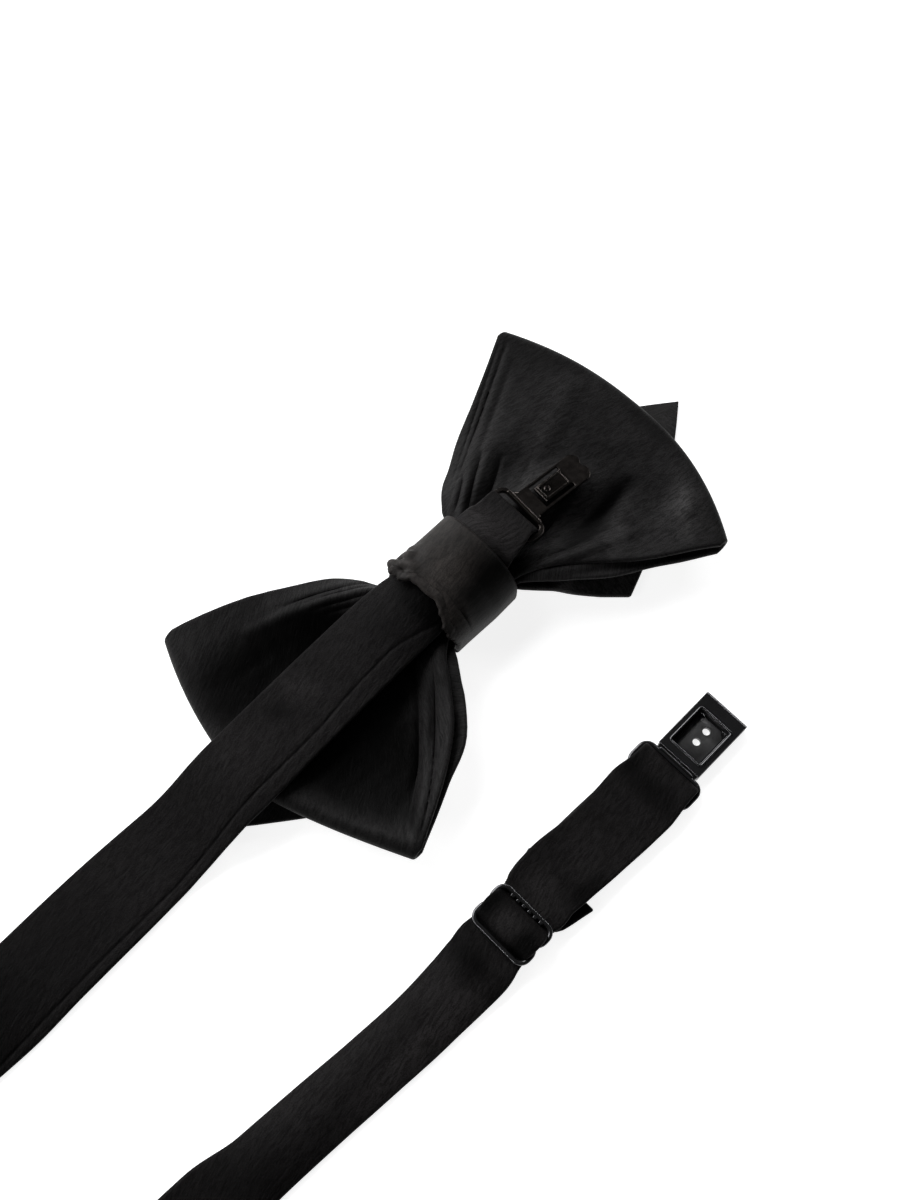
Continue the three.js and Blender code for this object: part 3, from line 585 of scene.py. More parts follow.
# %% Make the knot band
BAND_WALL = 1.2
KNOT = dict(middle=1.9, half=11.2, height=18.2, squareness=3.4)
BAND_RIGHT = 9.4
BAND_LEFT = table("angle left", [
    [-90, -7.0], [30, -7.2], [60, -8.0], [90, -6.6], [125, -8.4], [150, -9.0], [180, -7.6], [270, -7.0],
])


def crumple_at(angle, x):
    """Small folds of the tucked end: how far they stand out at an angle and a place along the bow."""
    tuck = bell(np.degrees(angle) - 40, 28) * bell(x + 6.0, 4.2)
    small = 0.4 * np.sin(2.3 * x - 7 * angle + 1) + 0.15 * np.sin(17 * angle)
    return tuck * (0.5 * np.sin(1.1 * x + 6 * angle) + small)


def crease_gap(y, x):
    """Distance from the line of the overlapping fold, which runs over the top towards the lower side."""
    return x + 3.3 + 0.115 * np.clip(-1.4 - y, 0, 9)


def knot_ring(angles, across):
    """Middle points of the band, for angles round the knot in radians."""
    angle, place = np.meshgrid(angles, across, indexing="ij")
    power = 2 / KNOT["squareness"]
    half_y, half_z = KNOT["half"] - BAND_WALL / 2, KNOT["height"] / 2 - BAND_WALL / 2

    def box_shape(value):
        return np.sign(value) * np.abs(value) ** power

    y = KNOT["middle"] + half_y * box_shape(np.cos(angle))
    z = KNOT["height"] / 2 + half_z * box_shape(np.sin(angle))
    degrees = np.degrees(angle)
    left = smooth(BAND_LEFT, "angle", "left", degrees)
    raw = 0.3 * np.sin(5 * angle) + 0.2 * np.sin(19 * angle + 1) + 0.12 * np.sin(43 * angle)
    left = left + raw * np.clip(np.sin(angle) + 1, 0, 1)
    x = (left + BAND_RIGHT) / 2 + (BAND_RIGHT - left) / 2 * place
    slant = 0.16 + 0.28 * np.clip((x + 5) / 8, 0, 1) - 0.2 * np.clip((x - 4) / 5, 0, 1)
    z = z * (1 - slant * np.clip(3.4 - y, 0, 13) ** 1.7 / 5.4 / KNOT["height"])
    top = np.clip(np.sin(angle), 0, 1) ** 2
    wrapped = top * np.clip((degrees - 85) / 25, 0, 1)
    gap = crease_gap(y, x)
    crease = wrapped * (0.3 * np.tanh(gap / 0.2) - 0.35 * bell(gap + 0.25, 0.3))
    crease -= 0.2 * top * bell(x - left - 1.5, 0.3) * np.clip((degrees - 50) / 30, 0, 1)
    soft = 0.22 * np.sin(0.55 * x + 2.2 * angle) * top
    crumple = crumple_at(angle, x) + 0.6 * bell(degrees - 36, 24) * bell(x + 5.4, 3.6)
    lift = 0.35 * bell(place + 1, 0.12) * top
    out = crease + soft * 0.5 + crumple + lift
    return np.stack([x, y + out * np.cos(angle), z + out * np.sin(angle)], -1)


band_angles = np.radians(np.arange(-90, 270, 1.5))  # the row at 270 degrees would be the first again
band_grid = knot_ring(band_angles, np.linspace(-1, 1, 101))

# %% Painted sheen and shade of the knot band
# Spots of painted sheen and painted shade on the top of the band
BAND_PAINTED_LIGHT_AND_SHADE = table(SPOT_COLUMNS, [
    [7.6, -2.4, 3.4, 3.0, 0, -0.5], [-1.6, 1.8, 6.0, 3.6, 0, 0.9], [-6.0, -5.0, 2.4, 5.0, 0, 0.4],
    [1.0, 6.0, 3.0, 2.2, 20, 0.3],
])
# Corners of the painted shade on the band's lower right side
BAND_SHADE = [(-1.6, -3.2), (-2.6, -12.0), (10.4, -12.0), (10.4, -2.6), (4.0, -2.6)]
band_x, band_y, band_z = np.moveaxis(band_grid, -1, 0)
band_top = np.clip((band_z - 8) / 4, 0, 1)
# Painted light and shade of the band: more where it falls towards the light, and the spots on its top
band_painted_light_and_shade = 0.85 + 0.35 * np.clip(fall_to_y(band_grid, closed=True), -0.8, 0.8)
band_painted_light_and_shade += spots(band_grid, BAND_PAINTED_LIGHT_AND_SHADE) * band_top
# Painted shade along the crease of the overlapping fold
band_painted_light_and_shade -= 0.6 * bell(crease_gap(band_y, band_x) + 0.2, 0.4) * band_top * (band_y < 2)
# Painted shade in the patch on the band's lower right, fading out below 6 mm height
band_painted_light_and_shade *= 1 - 0.92 * patch(band_grid, BAND_SHADE, 1.6) * np.clip((band_z - 6) / 5, 0, 1)
# Painted shade, darker towards the bottom of the band
band_painted_light_and_shade *= 1 - 0.45 * np.clip((8 - band_z) / 3, 0, 1)
# Painted light and shade on the small folds of the crumple
band_painted_light_and_shade += 0.9 * crumple_at(band_angles[:, None], band_x)
knot_band = cloth_wall("knot_band_cloth", band_grid, BAND_WALL, band_painted_light_and_shade, closed=True)

# %% [markdown]
# ## The neck strap
#
# The strap is a flat tube of satin. It starts inside the knot, folds round the ring of the hook, goes back over the
# left wing, round the neck, through the slide and round the ring of the socket, and ends sewn round the slide's
# middle bar. One table after the other gives its rows in that order. The crown lifts its middle above its edges, and
# the tilt turns it from flat to standing on its edge, as it does round the back of the neck.

# %% Rows of the neck strap
STRAP_WALL = 1.0
ABOVE_TABLE = 0.1
BAR_STEPS = 6  # of a half turn round a bar
STRAP_COLUMNS = "x y z width crown tilt"


def half_fold(x, y, z, width, radius, start, end):
    """Rows of a half turn of the strap round a bar."""
    angles = np.radians(np.linspace(start, end, BAR_STEPS + 1))
    return [[x + radius * math.cos(a), y, z + radius * math.sin(a), width, 0, 0] for a in angles]


def resting(x, y, width, tilt):
    """A row that stands or lies on the table, at the height that its tilt gives it."""
    a = math.radians(tilt)
    return [x, y, width / 2 * math.sin(a) + STRAP_WALL / 2 + ABOVE_TABLE, width, 0, tilt]


KNOT_TAIL = [[3.0, 2.4, 14.0, 9.5, -1.6, 0], [10.5, 2.2, 14.2, 11.0, -1.0, 0], [14.5, 1.9, 14.3, 12.2, -0.3, 0]]
OVER_WING = [
    [14.5, 1.9, 17.7, 13.2, 0.3, 0], [10.6, 2.5, 16.5, 15.0, 2.2, 0], [6.0, 2.7, 15.8, 15.2, 2.9, 0],
    [0.0, 2.8, 15.8, 15.4, 2.4, 0], [-7.0, 2.9, 15.6, 15.5, 2.4, 0], [-12.0, 3.0, 15.1, 16.2, 1.4, 0],
    [-20.0, 3.1, 14.3, 16.6, 0.6, 0], [-32.0, 3.1, 13.0, 16.8, 0.2, 0], [-45.0, 3.1, 11.4, 17.0, 0.0, 0],
    [-55.0, 3.1, 10.2, 17.2, 0.2, 0], [-60.0, 3.2, 9.6, 17.2, 0.4, 0], [-65.0, 3.4, 7.9, 17.0, 0.2, 0],
    [-71.0, 3.6, 4.8, 16.9, 0.0, 0], [-77.0, 3.8, 2.3, 17.3, 0.0, 0], [-84.0, 4.0, 0.9, 18.2, 0.0, 0],
    [-98.0, 3.9, 0.9, 19.0, 0.0, 0], [-112.0, 3.6, 0.9, 19.2, 0.0, 0],
]
BEFORE_TURN = [resting(-122.0, 3.1, 19.2, 5), resting(-130.0, 2.8, 18.8, 13), resting(-139.0, 2.6, 18.2, 25)]
TURN = dict(x=-148.0, y=-25.9, radius=28.6, steps=12, width=17.2, end_tilt=40.0)
NECK_TURN = []
for a in np.pi * np.arange(TURN["steps"] + 1) / TURN["steps"]:
    tilt = TURN["end_tilt"] + (90 - TURN["end_tilt"]) * math.sin(a)
    place = TURN["x"] - TURN["radius"] * math.sin(a), TURN["y"] + TURN["radius"] * math.cos(a)
    NECK_TURN.append(resting(*place, TURN["width"], tilt))
AFTER_TURN = [resting(-139.0, -54.3, 17.2, 26), resting(-129.0, -54.1, 16.6, 14), resting(-119.0, -54.2, 16.0, 6)]
TO_SLIDE = [
    [-108.0, -54.8, 1.9, 13.0, -1.0, 0], [-94.0, -55.8, 2.0, 12.7, -1.2, 0], [-80.0, -57.0, 2.0, 12.5, -1.2, 0],
    [-66.0, -57.9, 2.0, 12.7, -1.1, 0], [-57.0, -58.0, 2.2, 13.4, -1.0, 0], [-51.5, -57.9, 2.6, 13.9, -0.8, 0],
]
SLIDE_PLACE = (-41.3, -57.4, 4.5)
WEAVE = [
    [-6.5, -1.6, 13.6], [-4.85, -1.4, 13.0], [-3.7, -1.0, 12.8], [-2.9, 0.4, 12.8], [-1.8, 1.6, 13.2],
    [0.0, 2.3, 13.4], [1.8, 1.6, 13.2], [2.9, 0.4, 12.8], [3.7, -1.0, 12.8], [4.6, -1.45, 12.8],
    [5.7, -1.45, 13.4], [7.0, -1.2, 14.0],
]
TOP_LAYER = [
    [-31.5, -56.9, 3.6, 14.2, 0.2, 0], [-26.5, -57.1, 3.4, 14.8, 0.3, 0], [-18.0, -57.9, 2.6, 14.6, 0.2, 0],
    [-8.0, -58.3, 2.6, 15.2, 0.0, 0], [-3.5, -58.3, 3.1, 15.6, 0.0, 0], [0.5, -58.4, 3.4, 14.6, 0.0, 0],
    [1.8, -58.4, 3.4, 14.2, 0.0, 0],
]
LOWER_LAYER = [
    [-1.0, -58.2, 0.6, 14.0, 0.0, 0], [-8.0, -57.9, 0.6, 14.6, 0.0, 0], [-18.0, -57.4, 0.6, 14.4, 0.0, 0],
    [-26.0, -57.2, 1.9, 14.0, 0.0, 0], [-31.5, -57.2, 1.9, 13.6, 0.0, 0],
]
SEWN_WIDTH = 10.8
SEWN_LOOP = [
    [6.3, -2.65], [4.85, -2.65], [3.6, -2.3], [2.5, -1.0], [1.3, 0.5], [0.9, 1.0], [0.0, 1.35], [-0.95, 0.95],
    [-1.35, 0.0], [-0.95, -0.95], [0.0, -1.35], [1.0, -1.75], [2.1, -2.9], [3.4, -3.75], [4.85, -3.95],
]
sx, sy, sz = SLIDE_PLACE
WEAVE_ROWS = [[sx + x, sy, sz + z, width, 0, 0] for x, z, width in WEAVE]
SEWN_ROWS = [[sx + x, sy, sz + z, SEWN_WIDTH, 0, 0] for x, z in SEWN_LOOP]
TAIL_END = [
    [-33.8, sy - 0.3, sz - 3.95, 14.2, 0, 0], [-30.0, sy - 0.4, sz - 3.95, 16.0, 0, 0],
    [-27.4, sy - 0.4, sz - 3.95, 17.2, 0, 0],
]
STRAP_ROWS = np.array([
    *KNOT_TAIL, *half_fold(18.6, 2.1, 16.1, 12.2, 1.7, -90, 90), *OVER_WING, *BEFORE_TURN, *NECK_TURN, *AFTER_TURN,
    *TO_SLIDE, *WEAVE_ROWS, *TOP_LAYER, *half_fold(4.7, -58.4, 1.95, 13.9, 1.4, 90, -90), *LOWER_LAYER, *SEWN_ROWS,
    *TAIL_END,
])
print(len(STRAP_ROWS), "rows")

# %% Smooth the strap's course
STRAP_STEP = 1.2  # millimetres between rows


def dense(rows, step):
    """The rows on a smooth curve, about a step apart, and the distance along it of each."""
    run = np.concatenate([[0], np.cumsum(np.linalg.norm(np.diff(rows[:, :3], axis=0), axis=1))])
    at = []
    for a, b in zip(run[:-1], run[1:]):
        at.extend(np.linspace(a, b, max(2, int(math.ceil((b - a) / step)) + 1))[:-1])
    at = np.array([*at, run[-1]])
    names = STRAP_COLUMNS.split()
    curve = table("run " + STRAP_COLUMNS, np.column_stack([run, rows]))
    return {name: smooth(curve, "run", name, at) for name in names}, at, run[-1]


strap, strap_run, strap_length = dense(STRAP_ROWS, STRAP_STEP)
print(f"the strap's middle line is {strap_length:.0f} mm long, in {len(strap_run)} rows")

# %% [markdown]
# The tube has one seam along its lower half. It shows as a fine groove with a low ridge beside it, so the grid is
# pressed in along the seam's line. The distance from that line is kept as a second attribute, seam, and the
# material paints shade along the seam's stitches with it.

# %% Make the neck strap
STRAP_ACROSS = 61
SEAM_ENDS = (-7, -139)
SEAM_LINE = table("x y", [
    [-139, -5.4], [-131, -5.0], [-105, -3.7], [-87, -3.2], [-60, -2.2], [-44, -2.3], [-31, -1.4], [-20.5, -1.1],
    [-14, -2.3], [-8.4, -3.7], [0, -4.2],
])
strap_middle = np.stack([strap["x"], strap["y"], strap["z"]], -1)
strap_along = unit(np.gradient(strap_middle, axis=0))
tilt = np.radians(strap["tilt"])
strap_side = np.stack([np.zeros_like(tilt), np.cos(tilt), np.sin(tilt)], -1)
strap_side = unit(strap_side - strap_along * (strap_side * strap_along).sum(1, keepdims=True))
strap_up = np.cross(strap_side, strap_along)
place = np.linspace(-1, 1, STRAP_ACROSS)
strap_grid = (
    strap_middle[:, None]
    + strap_side[:, None] * (place * strap["width"][:, None] / 2)[..., None]
    - strap_up[:, None] * (strap["crown"][:, None] * place**2)[..., None]
)
seam_from, seam_to = (strap_run[np.argmax(strap["x"] < x)] for x in SEAM_ENDS)
seam_y = smooth(SEAM_LINE, "x", "y", strap_grid[..., 0])
seam_fade = np.clip((strap_run - seam_from) / 2, 0, 1) * np.clip((seam_to - strap_run) / 2, 0, 1)
seam_gap = strap_grid[..., 1] - seam_y
seam = 0.04 * bell(seam_gap + 1.3, 0.9) - 0.16 * bell(seam_gap, 0.35)
strap_grid[..., 2] += seam * seam_fade[:, None]
seam_gap = np.where(seam_fade[:, None] > 0, seam_gap, 9.0)
print("seam from x", SEAM_ENDS[0], "to", SEAM_ENDS[1], "mm")

# %% Painted sheen and shade of the neck strap
# Spots of painted sheen (positive amounts) and painted shade (negative amounts) on the strap
STRAP_PAINTED_LIGHT_AND_SHADE = table(SPOT_COLUMNS, [
    [-8.5, 3.0, 3.0, 9.0, 0, -0.6], [-15.0, 3.0, 7.0, 9.0, 0, -0.35], [-45.3, 6.3, 1.8, 3.4, 30, -0.5],
    [-38.6, 6.6, 3.0, 4.4, 20, 0.55], [-75.0, 4.0, 9.0, 12.0, 0, -0.1], [-118.0, 3.0, 24.0, 12.0, 0, -0.42],
    [-53.0, -58.0, 4.0, 8.0, 0, -0.5], [-110.0, -54.0, 8.0, 9.0, 0, -0.4], [-68.0, -62.0, 22.0, 3.4, 0, 0.9],
    [-1.0, -58.0, 3.0, 9.0, 0, -0.5], [-29.0, -60.5, 3.4, 4.0, 40, -0.4], [13.0, 4.0, 3.0, 5.0, 0, 0.3],
    [-41.3, -51.4, 3.4, 3.0, 0, -0.9], [-43.2, -62.3, 3.6, 2.8, 0, -1.0], [1.8, -52.0, 3.0, 2.0, 0, -0.4],
    [-42.0, -56.0, 2.4, 3.6, 0, 0.7], [-45.6, -57.9, 1.3, 5.0, 0, -0.5], [-51.8, -57.0, 2.0, 7.0, 0, -0.22],
    [-60.0, -56.5, 5.0, 4.0, 0, 0.4], [-33.0, -57.4, 4.6, 5.0, 0, 0.7], [-25.0, -63.6, 5.0, 2.0, 0, -0.6],
    [-78.0, -60.4, 14.0, 2.2, 0, 0.4],
    [-56.0, 5.0, 7.0, 6.0, 0, 0.22], [-20.0, -57.0, 6.0, 4.0, 40, 0.25], [13.5, 2.0, 5.0, 9.0, 0, 0.6],
])
neck_strap = cloth_wall("neck_strap_cloth", strap_grid, STRAP_WALL, painted_sheen_and_shade(strap_grid, 0.8, 0.5, STRAP_PAINTED_LIGHT_AND_SHADE))
paint(neck_strap.data, "seam", around_section(np.clip(seam_gap, -2, 2), closed=False))

# %% [markdown]
# ## Black satin
#
# Satin is smooth thread lying in one direction, so it is nearly black where it faces away from the light and has a
# soft sheen where it faces it. Much of that sheen and shade is painted here, as a number on each vertex. Two effects
# make it look like cloth and not like rubber: a fine speckle from the weave, and slack threads that pucker in long,
# slightly wavy lines, like the grain of wood. Both are in one shader group that every satin piece uses with its own
# values, and the group also scales the colour by the painted light and shade. The Principled shader stays in each
# material.


# %% A shader group for the weave
def new_group(name, inputs, outputs):
    """An empty shader group with its sockets, and its input and output nodes."""
    group = bpy.data.node_groups.new(name, "ShaderNodeTree")
    for label, kind, value in inputs:
        socket = group.interface.new_socket(name=label, in_out="INPUT", socket_type=kind)
        if value is not None:
            socket.default_value = value
    for label, kind in outputs:
        group.interface.new_socket(name=label, in_out="OUTPUT", socket_type=kind)
    return group, group.nodes.new("NodeGroupInput"), group.nodes.new("NodeGroupOutput")


def feed(tree, node, values):
    """Sets a node's inputs to values, or links them to the outputs of other nodes."""
    for key, value in values.items():
        if isinstance(value, bpy.types.NodeSocket):
            tree.links.new(value, node.inputs[key])
        else:
            node.inputs[key].default_value = value


def add_node(tree, kind, values=None, **settings):
    """A node with its settings and its inputs."""
    node = tree.nodes.new(kind)
    for key, value in settings.items():
        setattr(node, key, value)
    feed(tree, node, values or {})
    return node


def math_node(tree, operation, a, b):
    """A maths node fed by sockets or numbers."""
    return add_node(tree, "ShaderNodeMath", {0: a, 1: b}, operation=operation).outputs[0]


def noise(tree, place, scale, detail, roughness, distortion=0.0):
    """Cloudy grey values from 0 to 1, read at a place."""
    values = {"Vector": place, "Scale": scale, "Detail": detail, "Roughness": roughness, "Distortion": distortion}
    return add_node(tree, "ShaderNodeTexNoise", values).outputs["Fac"]


def in_range(tree, value, start, end, to_start, to_end, clamp=True):
    """A value that runs from one number to another is made to run between two others."""
    values = {"Value": value, "From Min": start, "From Max": end, "To Min": to_start, "To Max": to_end}
    return add_node(tree, "ShaderNodeMapRange", values, clamp=clamp).outputs[0]


def mixed(tree, share, first, second):
    """One colour turning into another."""
    return add_node(tree, "ShaderNodeMix", {"Factor": share, 6: first, 7: second}, data_type="RGBA").outputs[2]


# %% The weave
weave_group, weave_in, weave_out = new_group(
    "satin weave",
    [("Place", "NodeSocketVector", None), ("Turn", "NodeSocketFloat", 0.0), ("Dark", "NodeSocketColor", (0, 0, 0, 1)),
     ("Light", "NodeSocketColor", (0.1, 0.1, 0.1, 1)), ("Painted light and shade", "NodeSocketFloat", 1.0)],
    [("Colour", "NodeSocketColor"), ("Roughness", "NodeSocketFloat"), ("Height", "NodeSocketFloat")],
)
given = weave_in.outputs
turned = add_node(weave_group, "ShaderNodeVectorRotate", {"Vector": given["Place"], "Angle": given["Turn"]},
                  rotation_type="Z_AXIS").outputs[0]
fine_place, broad_place = (
    add_node(weave_group, "ShaderNodeMapping", {"Vector": turned, "Scale": scale}).outputs[0]
    for scale in ((4.2, 17.0, 8.0), (0.7, 3.6, 2.0))
)
grain = noise(weave_group, fine_place, 1.0, 3.0, 0.55, 0.9)
broad = noise(weave_group, broad_place, 1.0, 2.0, 0.5, 0.5)
speckle = noise(weave_group, given["Place"], 34.0, 3.0, 0.75)
lines, wide_lines, specks = (
    math_node(weave_group, "MULTIPLY", part, share) for part, share in ((grain, 0.6), (broad, 0.5), (speckle, 0.4))
)
all_lines = math_node(weave_group, "ADD", lines, wide_lines)
grain_and_speckle = math_node(weave_group, "MULTIPLY", math_node(weave_group, "ADD", grain, speckle), 0.5)
shade = in_range(weave_group, grain_and_speckle, 0.4, 0.6, -0.1, 1.15, clamp=False)
thread = mixed(weave_group, shade, given["Dark"], given["Light"])
# The thread's colour scaled by the painted light and shade
thread_with_painted_light = add_node(weave_group, "ShaderNodeVectorMath", {0: thread, "Scale": given["Painted light and shade"]}, operation="SCALE")
feed(weave_group, weave_out, {
    "Colour": thread_with_painted_light.outputs[0], "Roughness": in_range(weave_group, speckle, 0.3, 0.7, 0.58, 0.46),
    "Height": math_node(weave_group, "ADD", all_lines, specks),
})
print("group", weave_group.name, "with", len(weave_group.nodes), "nodes")


# %% Satin materials
def new_material(name):
    """A material, its node tree and its Principled shader."""
    material = bpy.data.materials.new(name)
    material.use_nodes = True
    return material, material.node_tree, material.node_tree.nodes["Principled BSDF"]


def painted(nodes, name):
    """The number that is painted on the mesh's vertices."""
    return add_node(nodes, "ShaderNodeAttribute", attribute_name=name).outputs["Fac"]


def seam_shade(nodes, place):
    """1 on plain cloth and less along the seam: painted shade in its groove, broken into short stitches."""
    near = in_range(nodes, math_node(nodes, "ABSOLUTE", painted(nodes, "seam"), 0.0), 0.2, 0.5, 1.0, 0.0)
    depth = in_range(nodes, noise(nodes, place, 3.2, 2.0, 0.6), 0.42, 0.58, 0.6, 1.0)
    return math_node(nodes, "SUBTRACT", 1.0, math_node(nodes, "MULTIPLY", near, depth))


def satin(name, dark, light, turn, bump, gloss=0.1, seam=False):
    """A satin material that follows the cloth's own UV map."""
    material, nodes, shader = new_material(name)
    place = add_node(nodes, "ShaderNodeUVMap", uv_map="cloth").outputs["UV"]
    # The painted light and shade from the mesh, with painted shade along the seam where there is one
    painted_light_and_shade = painted(nodes, "painted_light_and_shade")
    if seam:
        painted_light_and_shade = math_node(nodes, "MULTIPLY", painted_light_and_shade, seam_shade(nodes, place))
    weave = add_node(nodes, "ShaderNodeGroup", node_tree=weave_group)
    feed(nodes, weave, {"Place": place, "Turn": math.radians(turn), "Dark": (*dark, 1), "Light": (*light, 1),
                        "Painted light and shade": painted_light_and_shade})
    threads = {"Height": weave.outputs["Height"], "Strength": bump, "Distance": 0.0003}
    feed(nodes, shader, {
        "Base Color": weave.outputs["Colour"], "Roughness": weave.outputs["Roughness"], "Specular IOR Level": gloss,
        "Normal": add_node(nodes, "ShaderNodeBump", threads).outputs["Normal"],
    })
    return material


BLACK, SOFT_BLACK = (0.0046, 0.0044, 0.0045), (0.0148, 0.0143, 0.0145)
wing_satin = satin("wing satin", BLACK, SOFT_BLACK, -20, 0.7, 0.05)
front_satin = satin("front layer satin", BLACK, SOFT_BLACK, 30, 0.3)
strap_satin = satin("strap satin", (0.0042, 0.0038, 0.0039), (0.0115, 0.0107, 0.0109), -13, 0.9, 0.04, seam=True)
band_satin = satin("band satin", (0.006, 0.0052, 0.0048), (0.017, 0.0147, 0.0137), 80, 0.4)
for piece, material in (
    (back_loop, wing_satin), (front_diamond, front_satin), (neck_strap, strap_satin), (knot_band, band_satin)
):
    piece.data.materials.append(material)
    print(piece.name, "has", material.name)

# %% [markdown]
# ## Blackened metal
#
# The fittings are small stampings and castings, blackened or enamelled. They are darker than bare steel but far
# shinier than the satin, with bright lines where a bevelled edge turns to the light.


# %% Metal materials
def fitting_metal(name, colour, roughness, metallic):
    """Dark metal with a fine uneven skin."""
    material, nodes, shader = new_material(name)
    place = add_node(nodes, "ShaderNodeTexCoord").outputs["Object"]
    skin = noise(nodes, place, 900.0, 4.0, 0.6)
    stains = noise(nodes, place, 260.0, 3.0, 0.6)
    dull, bright = ((*[c * tone for c in colour], 1) for tone in (0.75, 1.25))
    pits = add_node(nodes, "ShaderNodeBump", {"Height": skin, "Strength": 0.04, "Distance": 0.0001})
    feed(nodes, shader, {
        "Base Color": mixed(nodes, stains, dull, bright), "Metallic": metallic, "Normal": pits.outputs["Normal"],
        "Roughness": in_range(nodes, skin, 0.0, 1.0, roughness - 0.08, roughness + 0.1),
    })
    return material


gunmetal = fitting_metal("gunmetal", (0.07, 0.062, 0.058), 0.2, 0.97)
enamel = fitting_metal("black enamel", (0.07, 0.07, 0.073), 0.17, 0.86)
# A lighter, rougher copy of the enamel for the socket's floor plate
floor_plate_metal = fitting_metal("lighter socket floor", (0.11, 0.11, 0.112), 0.4, 0.9)
print("metals:", gunmetal.name, enamel.name, floor_plate_metal.name, sep=" / ")

# %% [markdown]
# ## The hook
#
# The hook is one stamped plate: a ring for the strap, and a tongue with two rounded lobes at its tip. Two slots leave
# a springy tab between them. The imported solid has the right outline, so a copy of its mesh is the start. Its loose
# triangles are merged, flat areas are joined into single faces, and a Bevel modifier rolls the sharp stamped edges
# over, because a thin bright line along each edge is what makes small metal look real.


# %% Pick faces and edges
def start_picking(kind):
    """Nothing selected, and faces or edges the kind that is picked."""
    bpy.ops.object.mode_set(mode="EDIT")
    bpy.ops.mesh.select_mode(type=kind)
    bpy.ops.mesh.select_all(action="DESELECT")
    bpy.ops.object.mode_set(mode="OBJECT")


def pick_faces(piece, keep):
    """Selects the faces whose centre, in millimetres, and normal pass a test."""
    start_picking("FACE")
    for face in piece.data.polygons:
        face.select = keep([c / MM for c in face.center], face.normal)
    bpy.ops.object.mode_set(mode="EDIT")


def pick_edges(piece, keep):
    """Selects the edges whose two ends, in millimetres, pass a test."""
    start_picking("EDGE")
    points = piece.data.vertices
    for edge in piece.data.edges:
        edge.select = keep(*([c / MM for c in points[v].co] for v in edge.vertices))
    bpy.ops.object.mode_set(mode="EDIT")


# %% Boxes, rings and rolled edges
ROLLED_FROM, SMOOTH_BELOW = math.radians(25), math.radians(40)  # angles between two faces


def soften(piece, width, segments=2):
    """Rolls the sharp edges over, and keeps the flat faces flat where they are shaded smooth."""
    bpy.ops.object.mode_set(mode="OBJECT")
    only(piece)
    bevel = piece.modifiers.new("edges", "BEVEL")
    bevel.width, bevel.segments, bevel.limit_method = width * MM, segments, "ANGLE"
    bevel.angle_limit = ROLLED_FROM
    bpy.ops.object.modifier_apply(modifier="edges")
    bpy.ops.object.shade_smooth_by_angle(angle=SMOOTH_BELOW)
    flat = piece.modifiers.new("flat faces", "WEIGHTED_NORMAL")
    flat.keep_sharp = True
    bpy.ops.object.modifier_apply(modifier="flat faces")


def block(name, x, y, z):
    """A box between two corners' values along each axis, with its place in its mesh."""
    bpy.ops.object.select_all(action="DESELECT")
    middle = [(a + b) / 2 * MM for a, b in (x, y, z)]
    bpy.ops.mesh.primitive_cube_add(size=1, location=middle, scale=[(b - a) * MM for a, b in (x, y, z)])
    piece = bpy.context.active_object
    piece.name = piece.data.name = name
    bpy.ops.object.transform_apply(location=True, rotation=True, scale=True)
    return piece


def upright(a, b):
    """Whether the edge between two points stands straight up."""
    return abs(a[0] - b[0]) < 1e-3 and abs(a[1] - b[1]) < 1e-3


def ring_of_bar(name, x, y, z, corner, bar):
    """A rounded oblong ring: a box with its corners rounded and its middle bridged away."""
    piece = block(name, x, y, z)
    pick_edges(piece, upright)
    bpy.ops.mesh.bevel(offset=corner * MM, segments=6, affect="EDGES")
    pick_faces(piece, lambda c, n: abs(n.z) > 0.9)
    bpy.ops.mesh.inset(thickness=bar * MM)
    bpy.ops.mesh.bridge_edge_loops()
    bpy.ops.object.mode_set(mode="OBJECT")
    return piece


# %% Seat a piece and join parts
def seat(piece, place, dip=0.0, turn=0.0):
    """Moves a piece made round the origin to its seat, and applies that."""
    only(piece)
    piece.location = [c * MM for c in place]
    piece.rotation_euler = (0, math.radians(dip), math.radians(turn))
    bpy.ops.object.transform_apply(location=True, rotation=True, scale=True)


def join(name, parts, metal):
    """Makes several parts one piece of one metal."""
    bpy.ops.object.select_all(action="DESELECT")
    for part in parts:
        part.select_set(True)
    bpy.context.view_layer.objects.active = parts[0]
    bpy.ops.object.join()
    piece = parts[0]
    piece.name = piece.data.name = name
    piece.data.materials.clear()
    piece.data.materials.append(metal)
    print(name, len(piece.data.polygons), "faces")
    return piece


# %% Make the hook
HOOK_PLACE, HOOK_DIP, HOOK_TURN = (19.8, 1.6, 16.1), 6.0, -3.5
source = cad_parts["hook_clasp"]
hook_plate = source.copy()
hook_plate.data = source.data.copy()
scene.collection.objects.link(hook_plate)
only(hook_plate)
bpy.ops.object.mode_set(mode="EDIT")
bpy.ops.mesh.select_all(action="SELECT")
bpy.ops.mesh.remove_doubles(threshold=0.00001)
bpy.ops.mesh.dissolve_limited(angle_limit=math.radians(2))
soften(hook_plate, 0.2, segments=3)

tab_rim = ring_of_bar("tab_rim", (7.9, 14.6), (-1.75, 1.75), (0.35, 0.62), 0.5, 0.32)
soften(tab_rim, 0.09)
bpy.ops.object.select_all(action="DESELECT")
bpy.ops.mesh.primitive_torus_add(major_radius=0.62 * MM, minor_radius=0.13 * MM, major_segments=24, minor_segments=8,
                                 location=(9.6 * MM, 0.1 * MM, 0.5 * MM))
dimple = bpy.context.active_object
bpy.ops.object.transform_apply(location=True, rotation=True, scale=True)
bpy.ops.object.shade_smooth()
tab_slope = block("tab_slope", (7.6, 15.3), (-2.0, 2.0), (0.3, 0.5))
soften(tab_slope, 0.12)
bar_roll = block("bar_roll", (2.15, 3.15), (-5.2, 5.2), (0.2, 0.75))
soften(bar_roll, 0.26, segments=4)
details = [tab_rim, dimple, tab_slope, bar_roll]
print(len(details), "details on the hook")

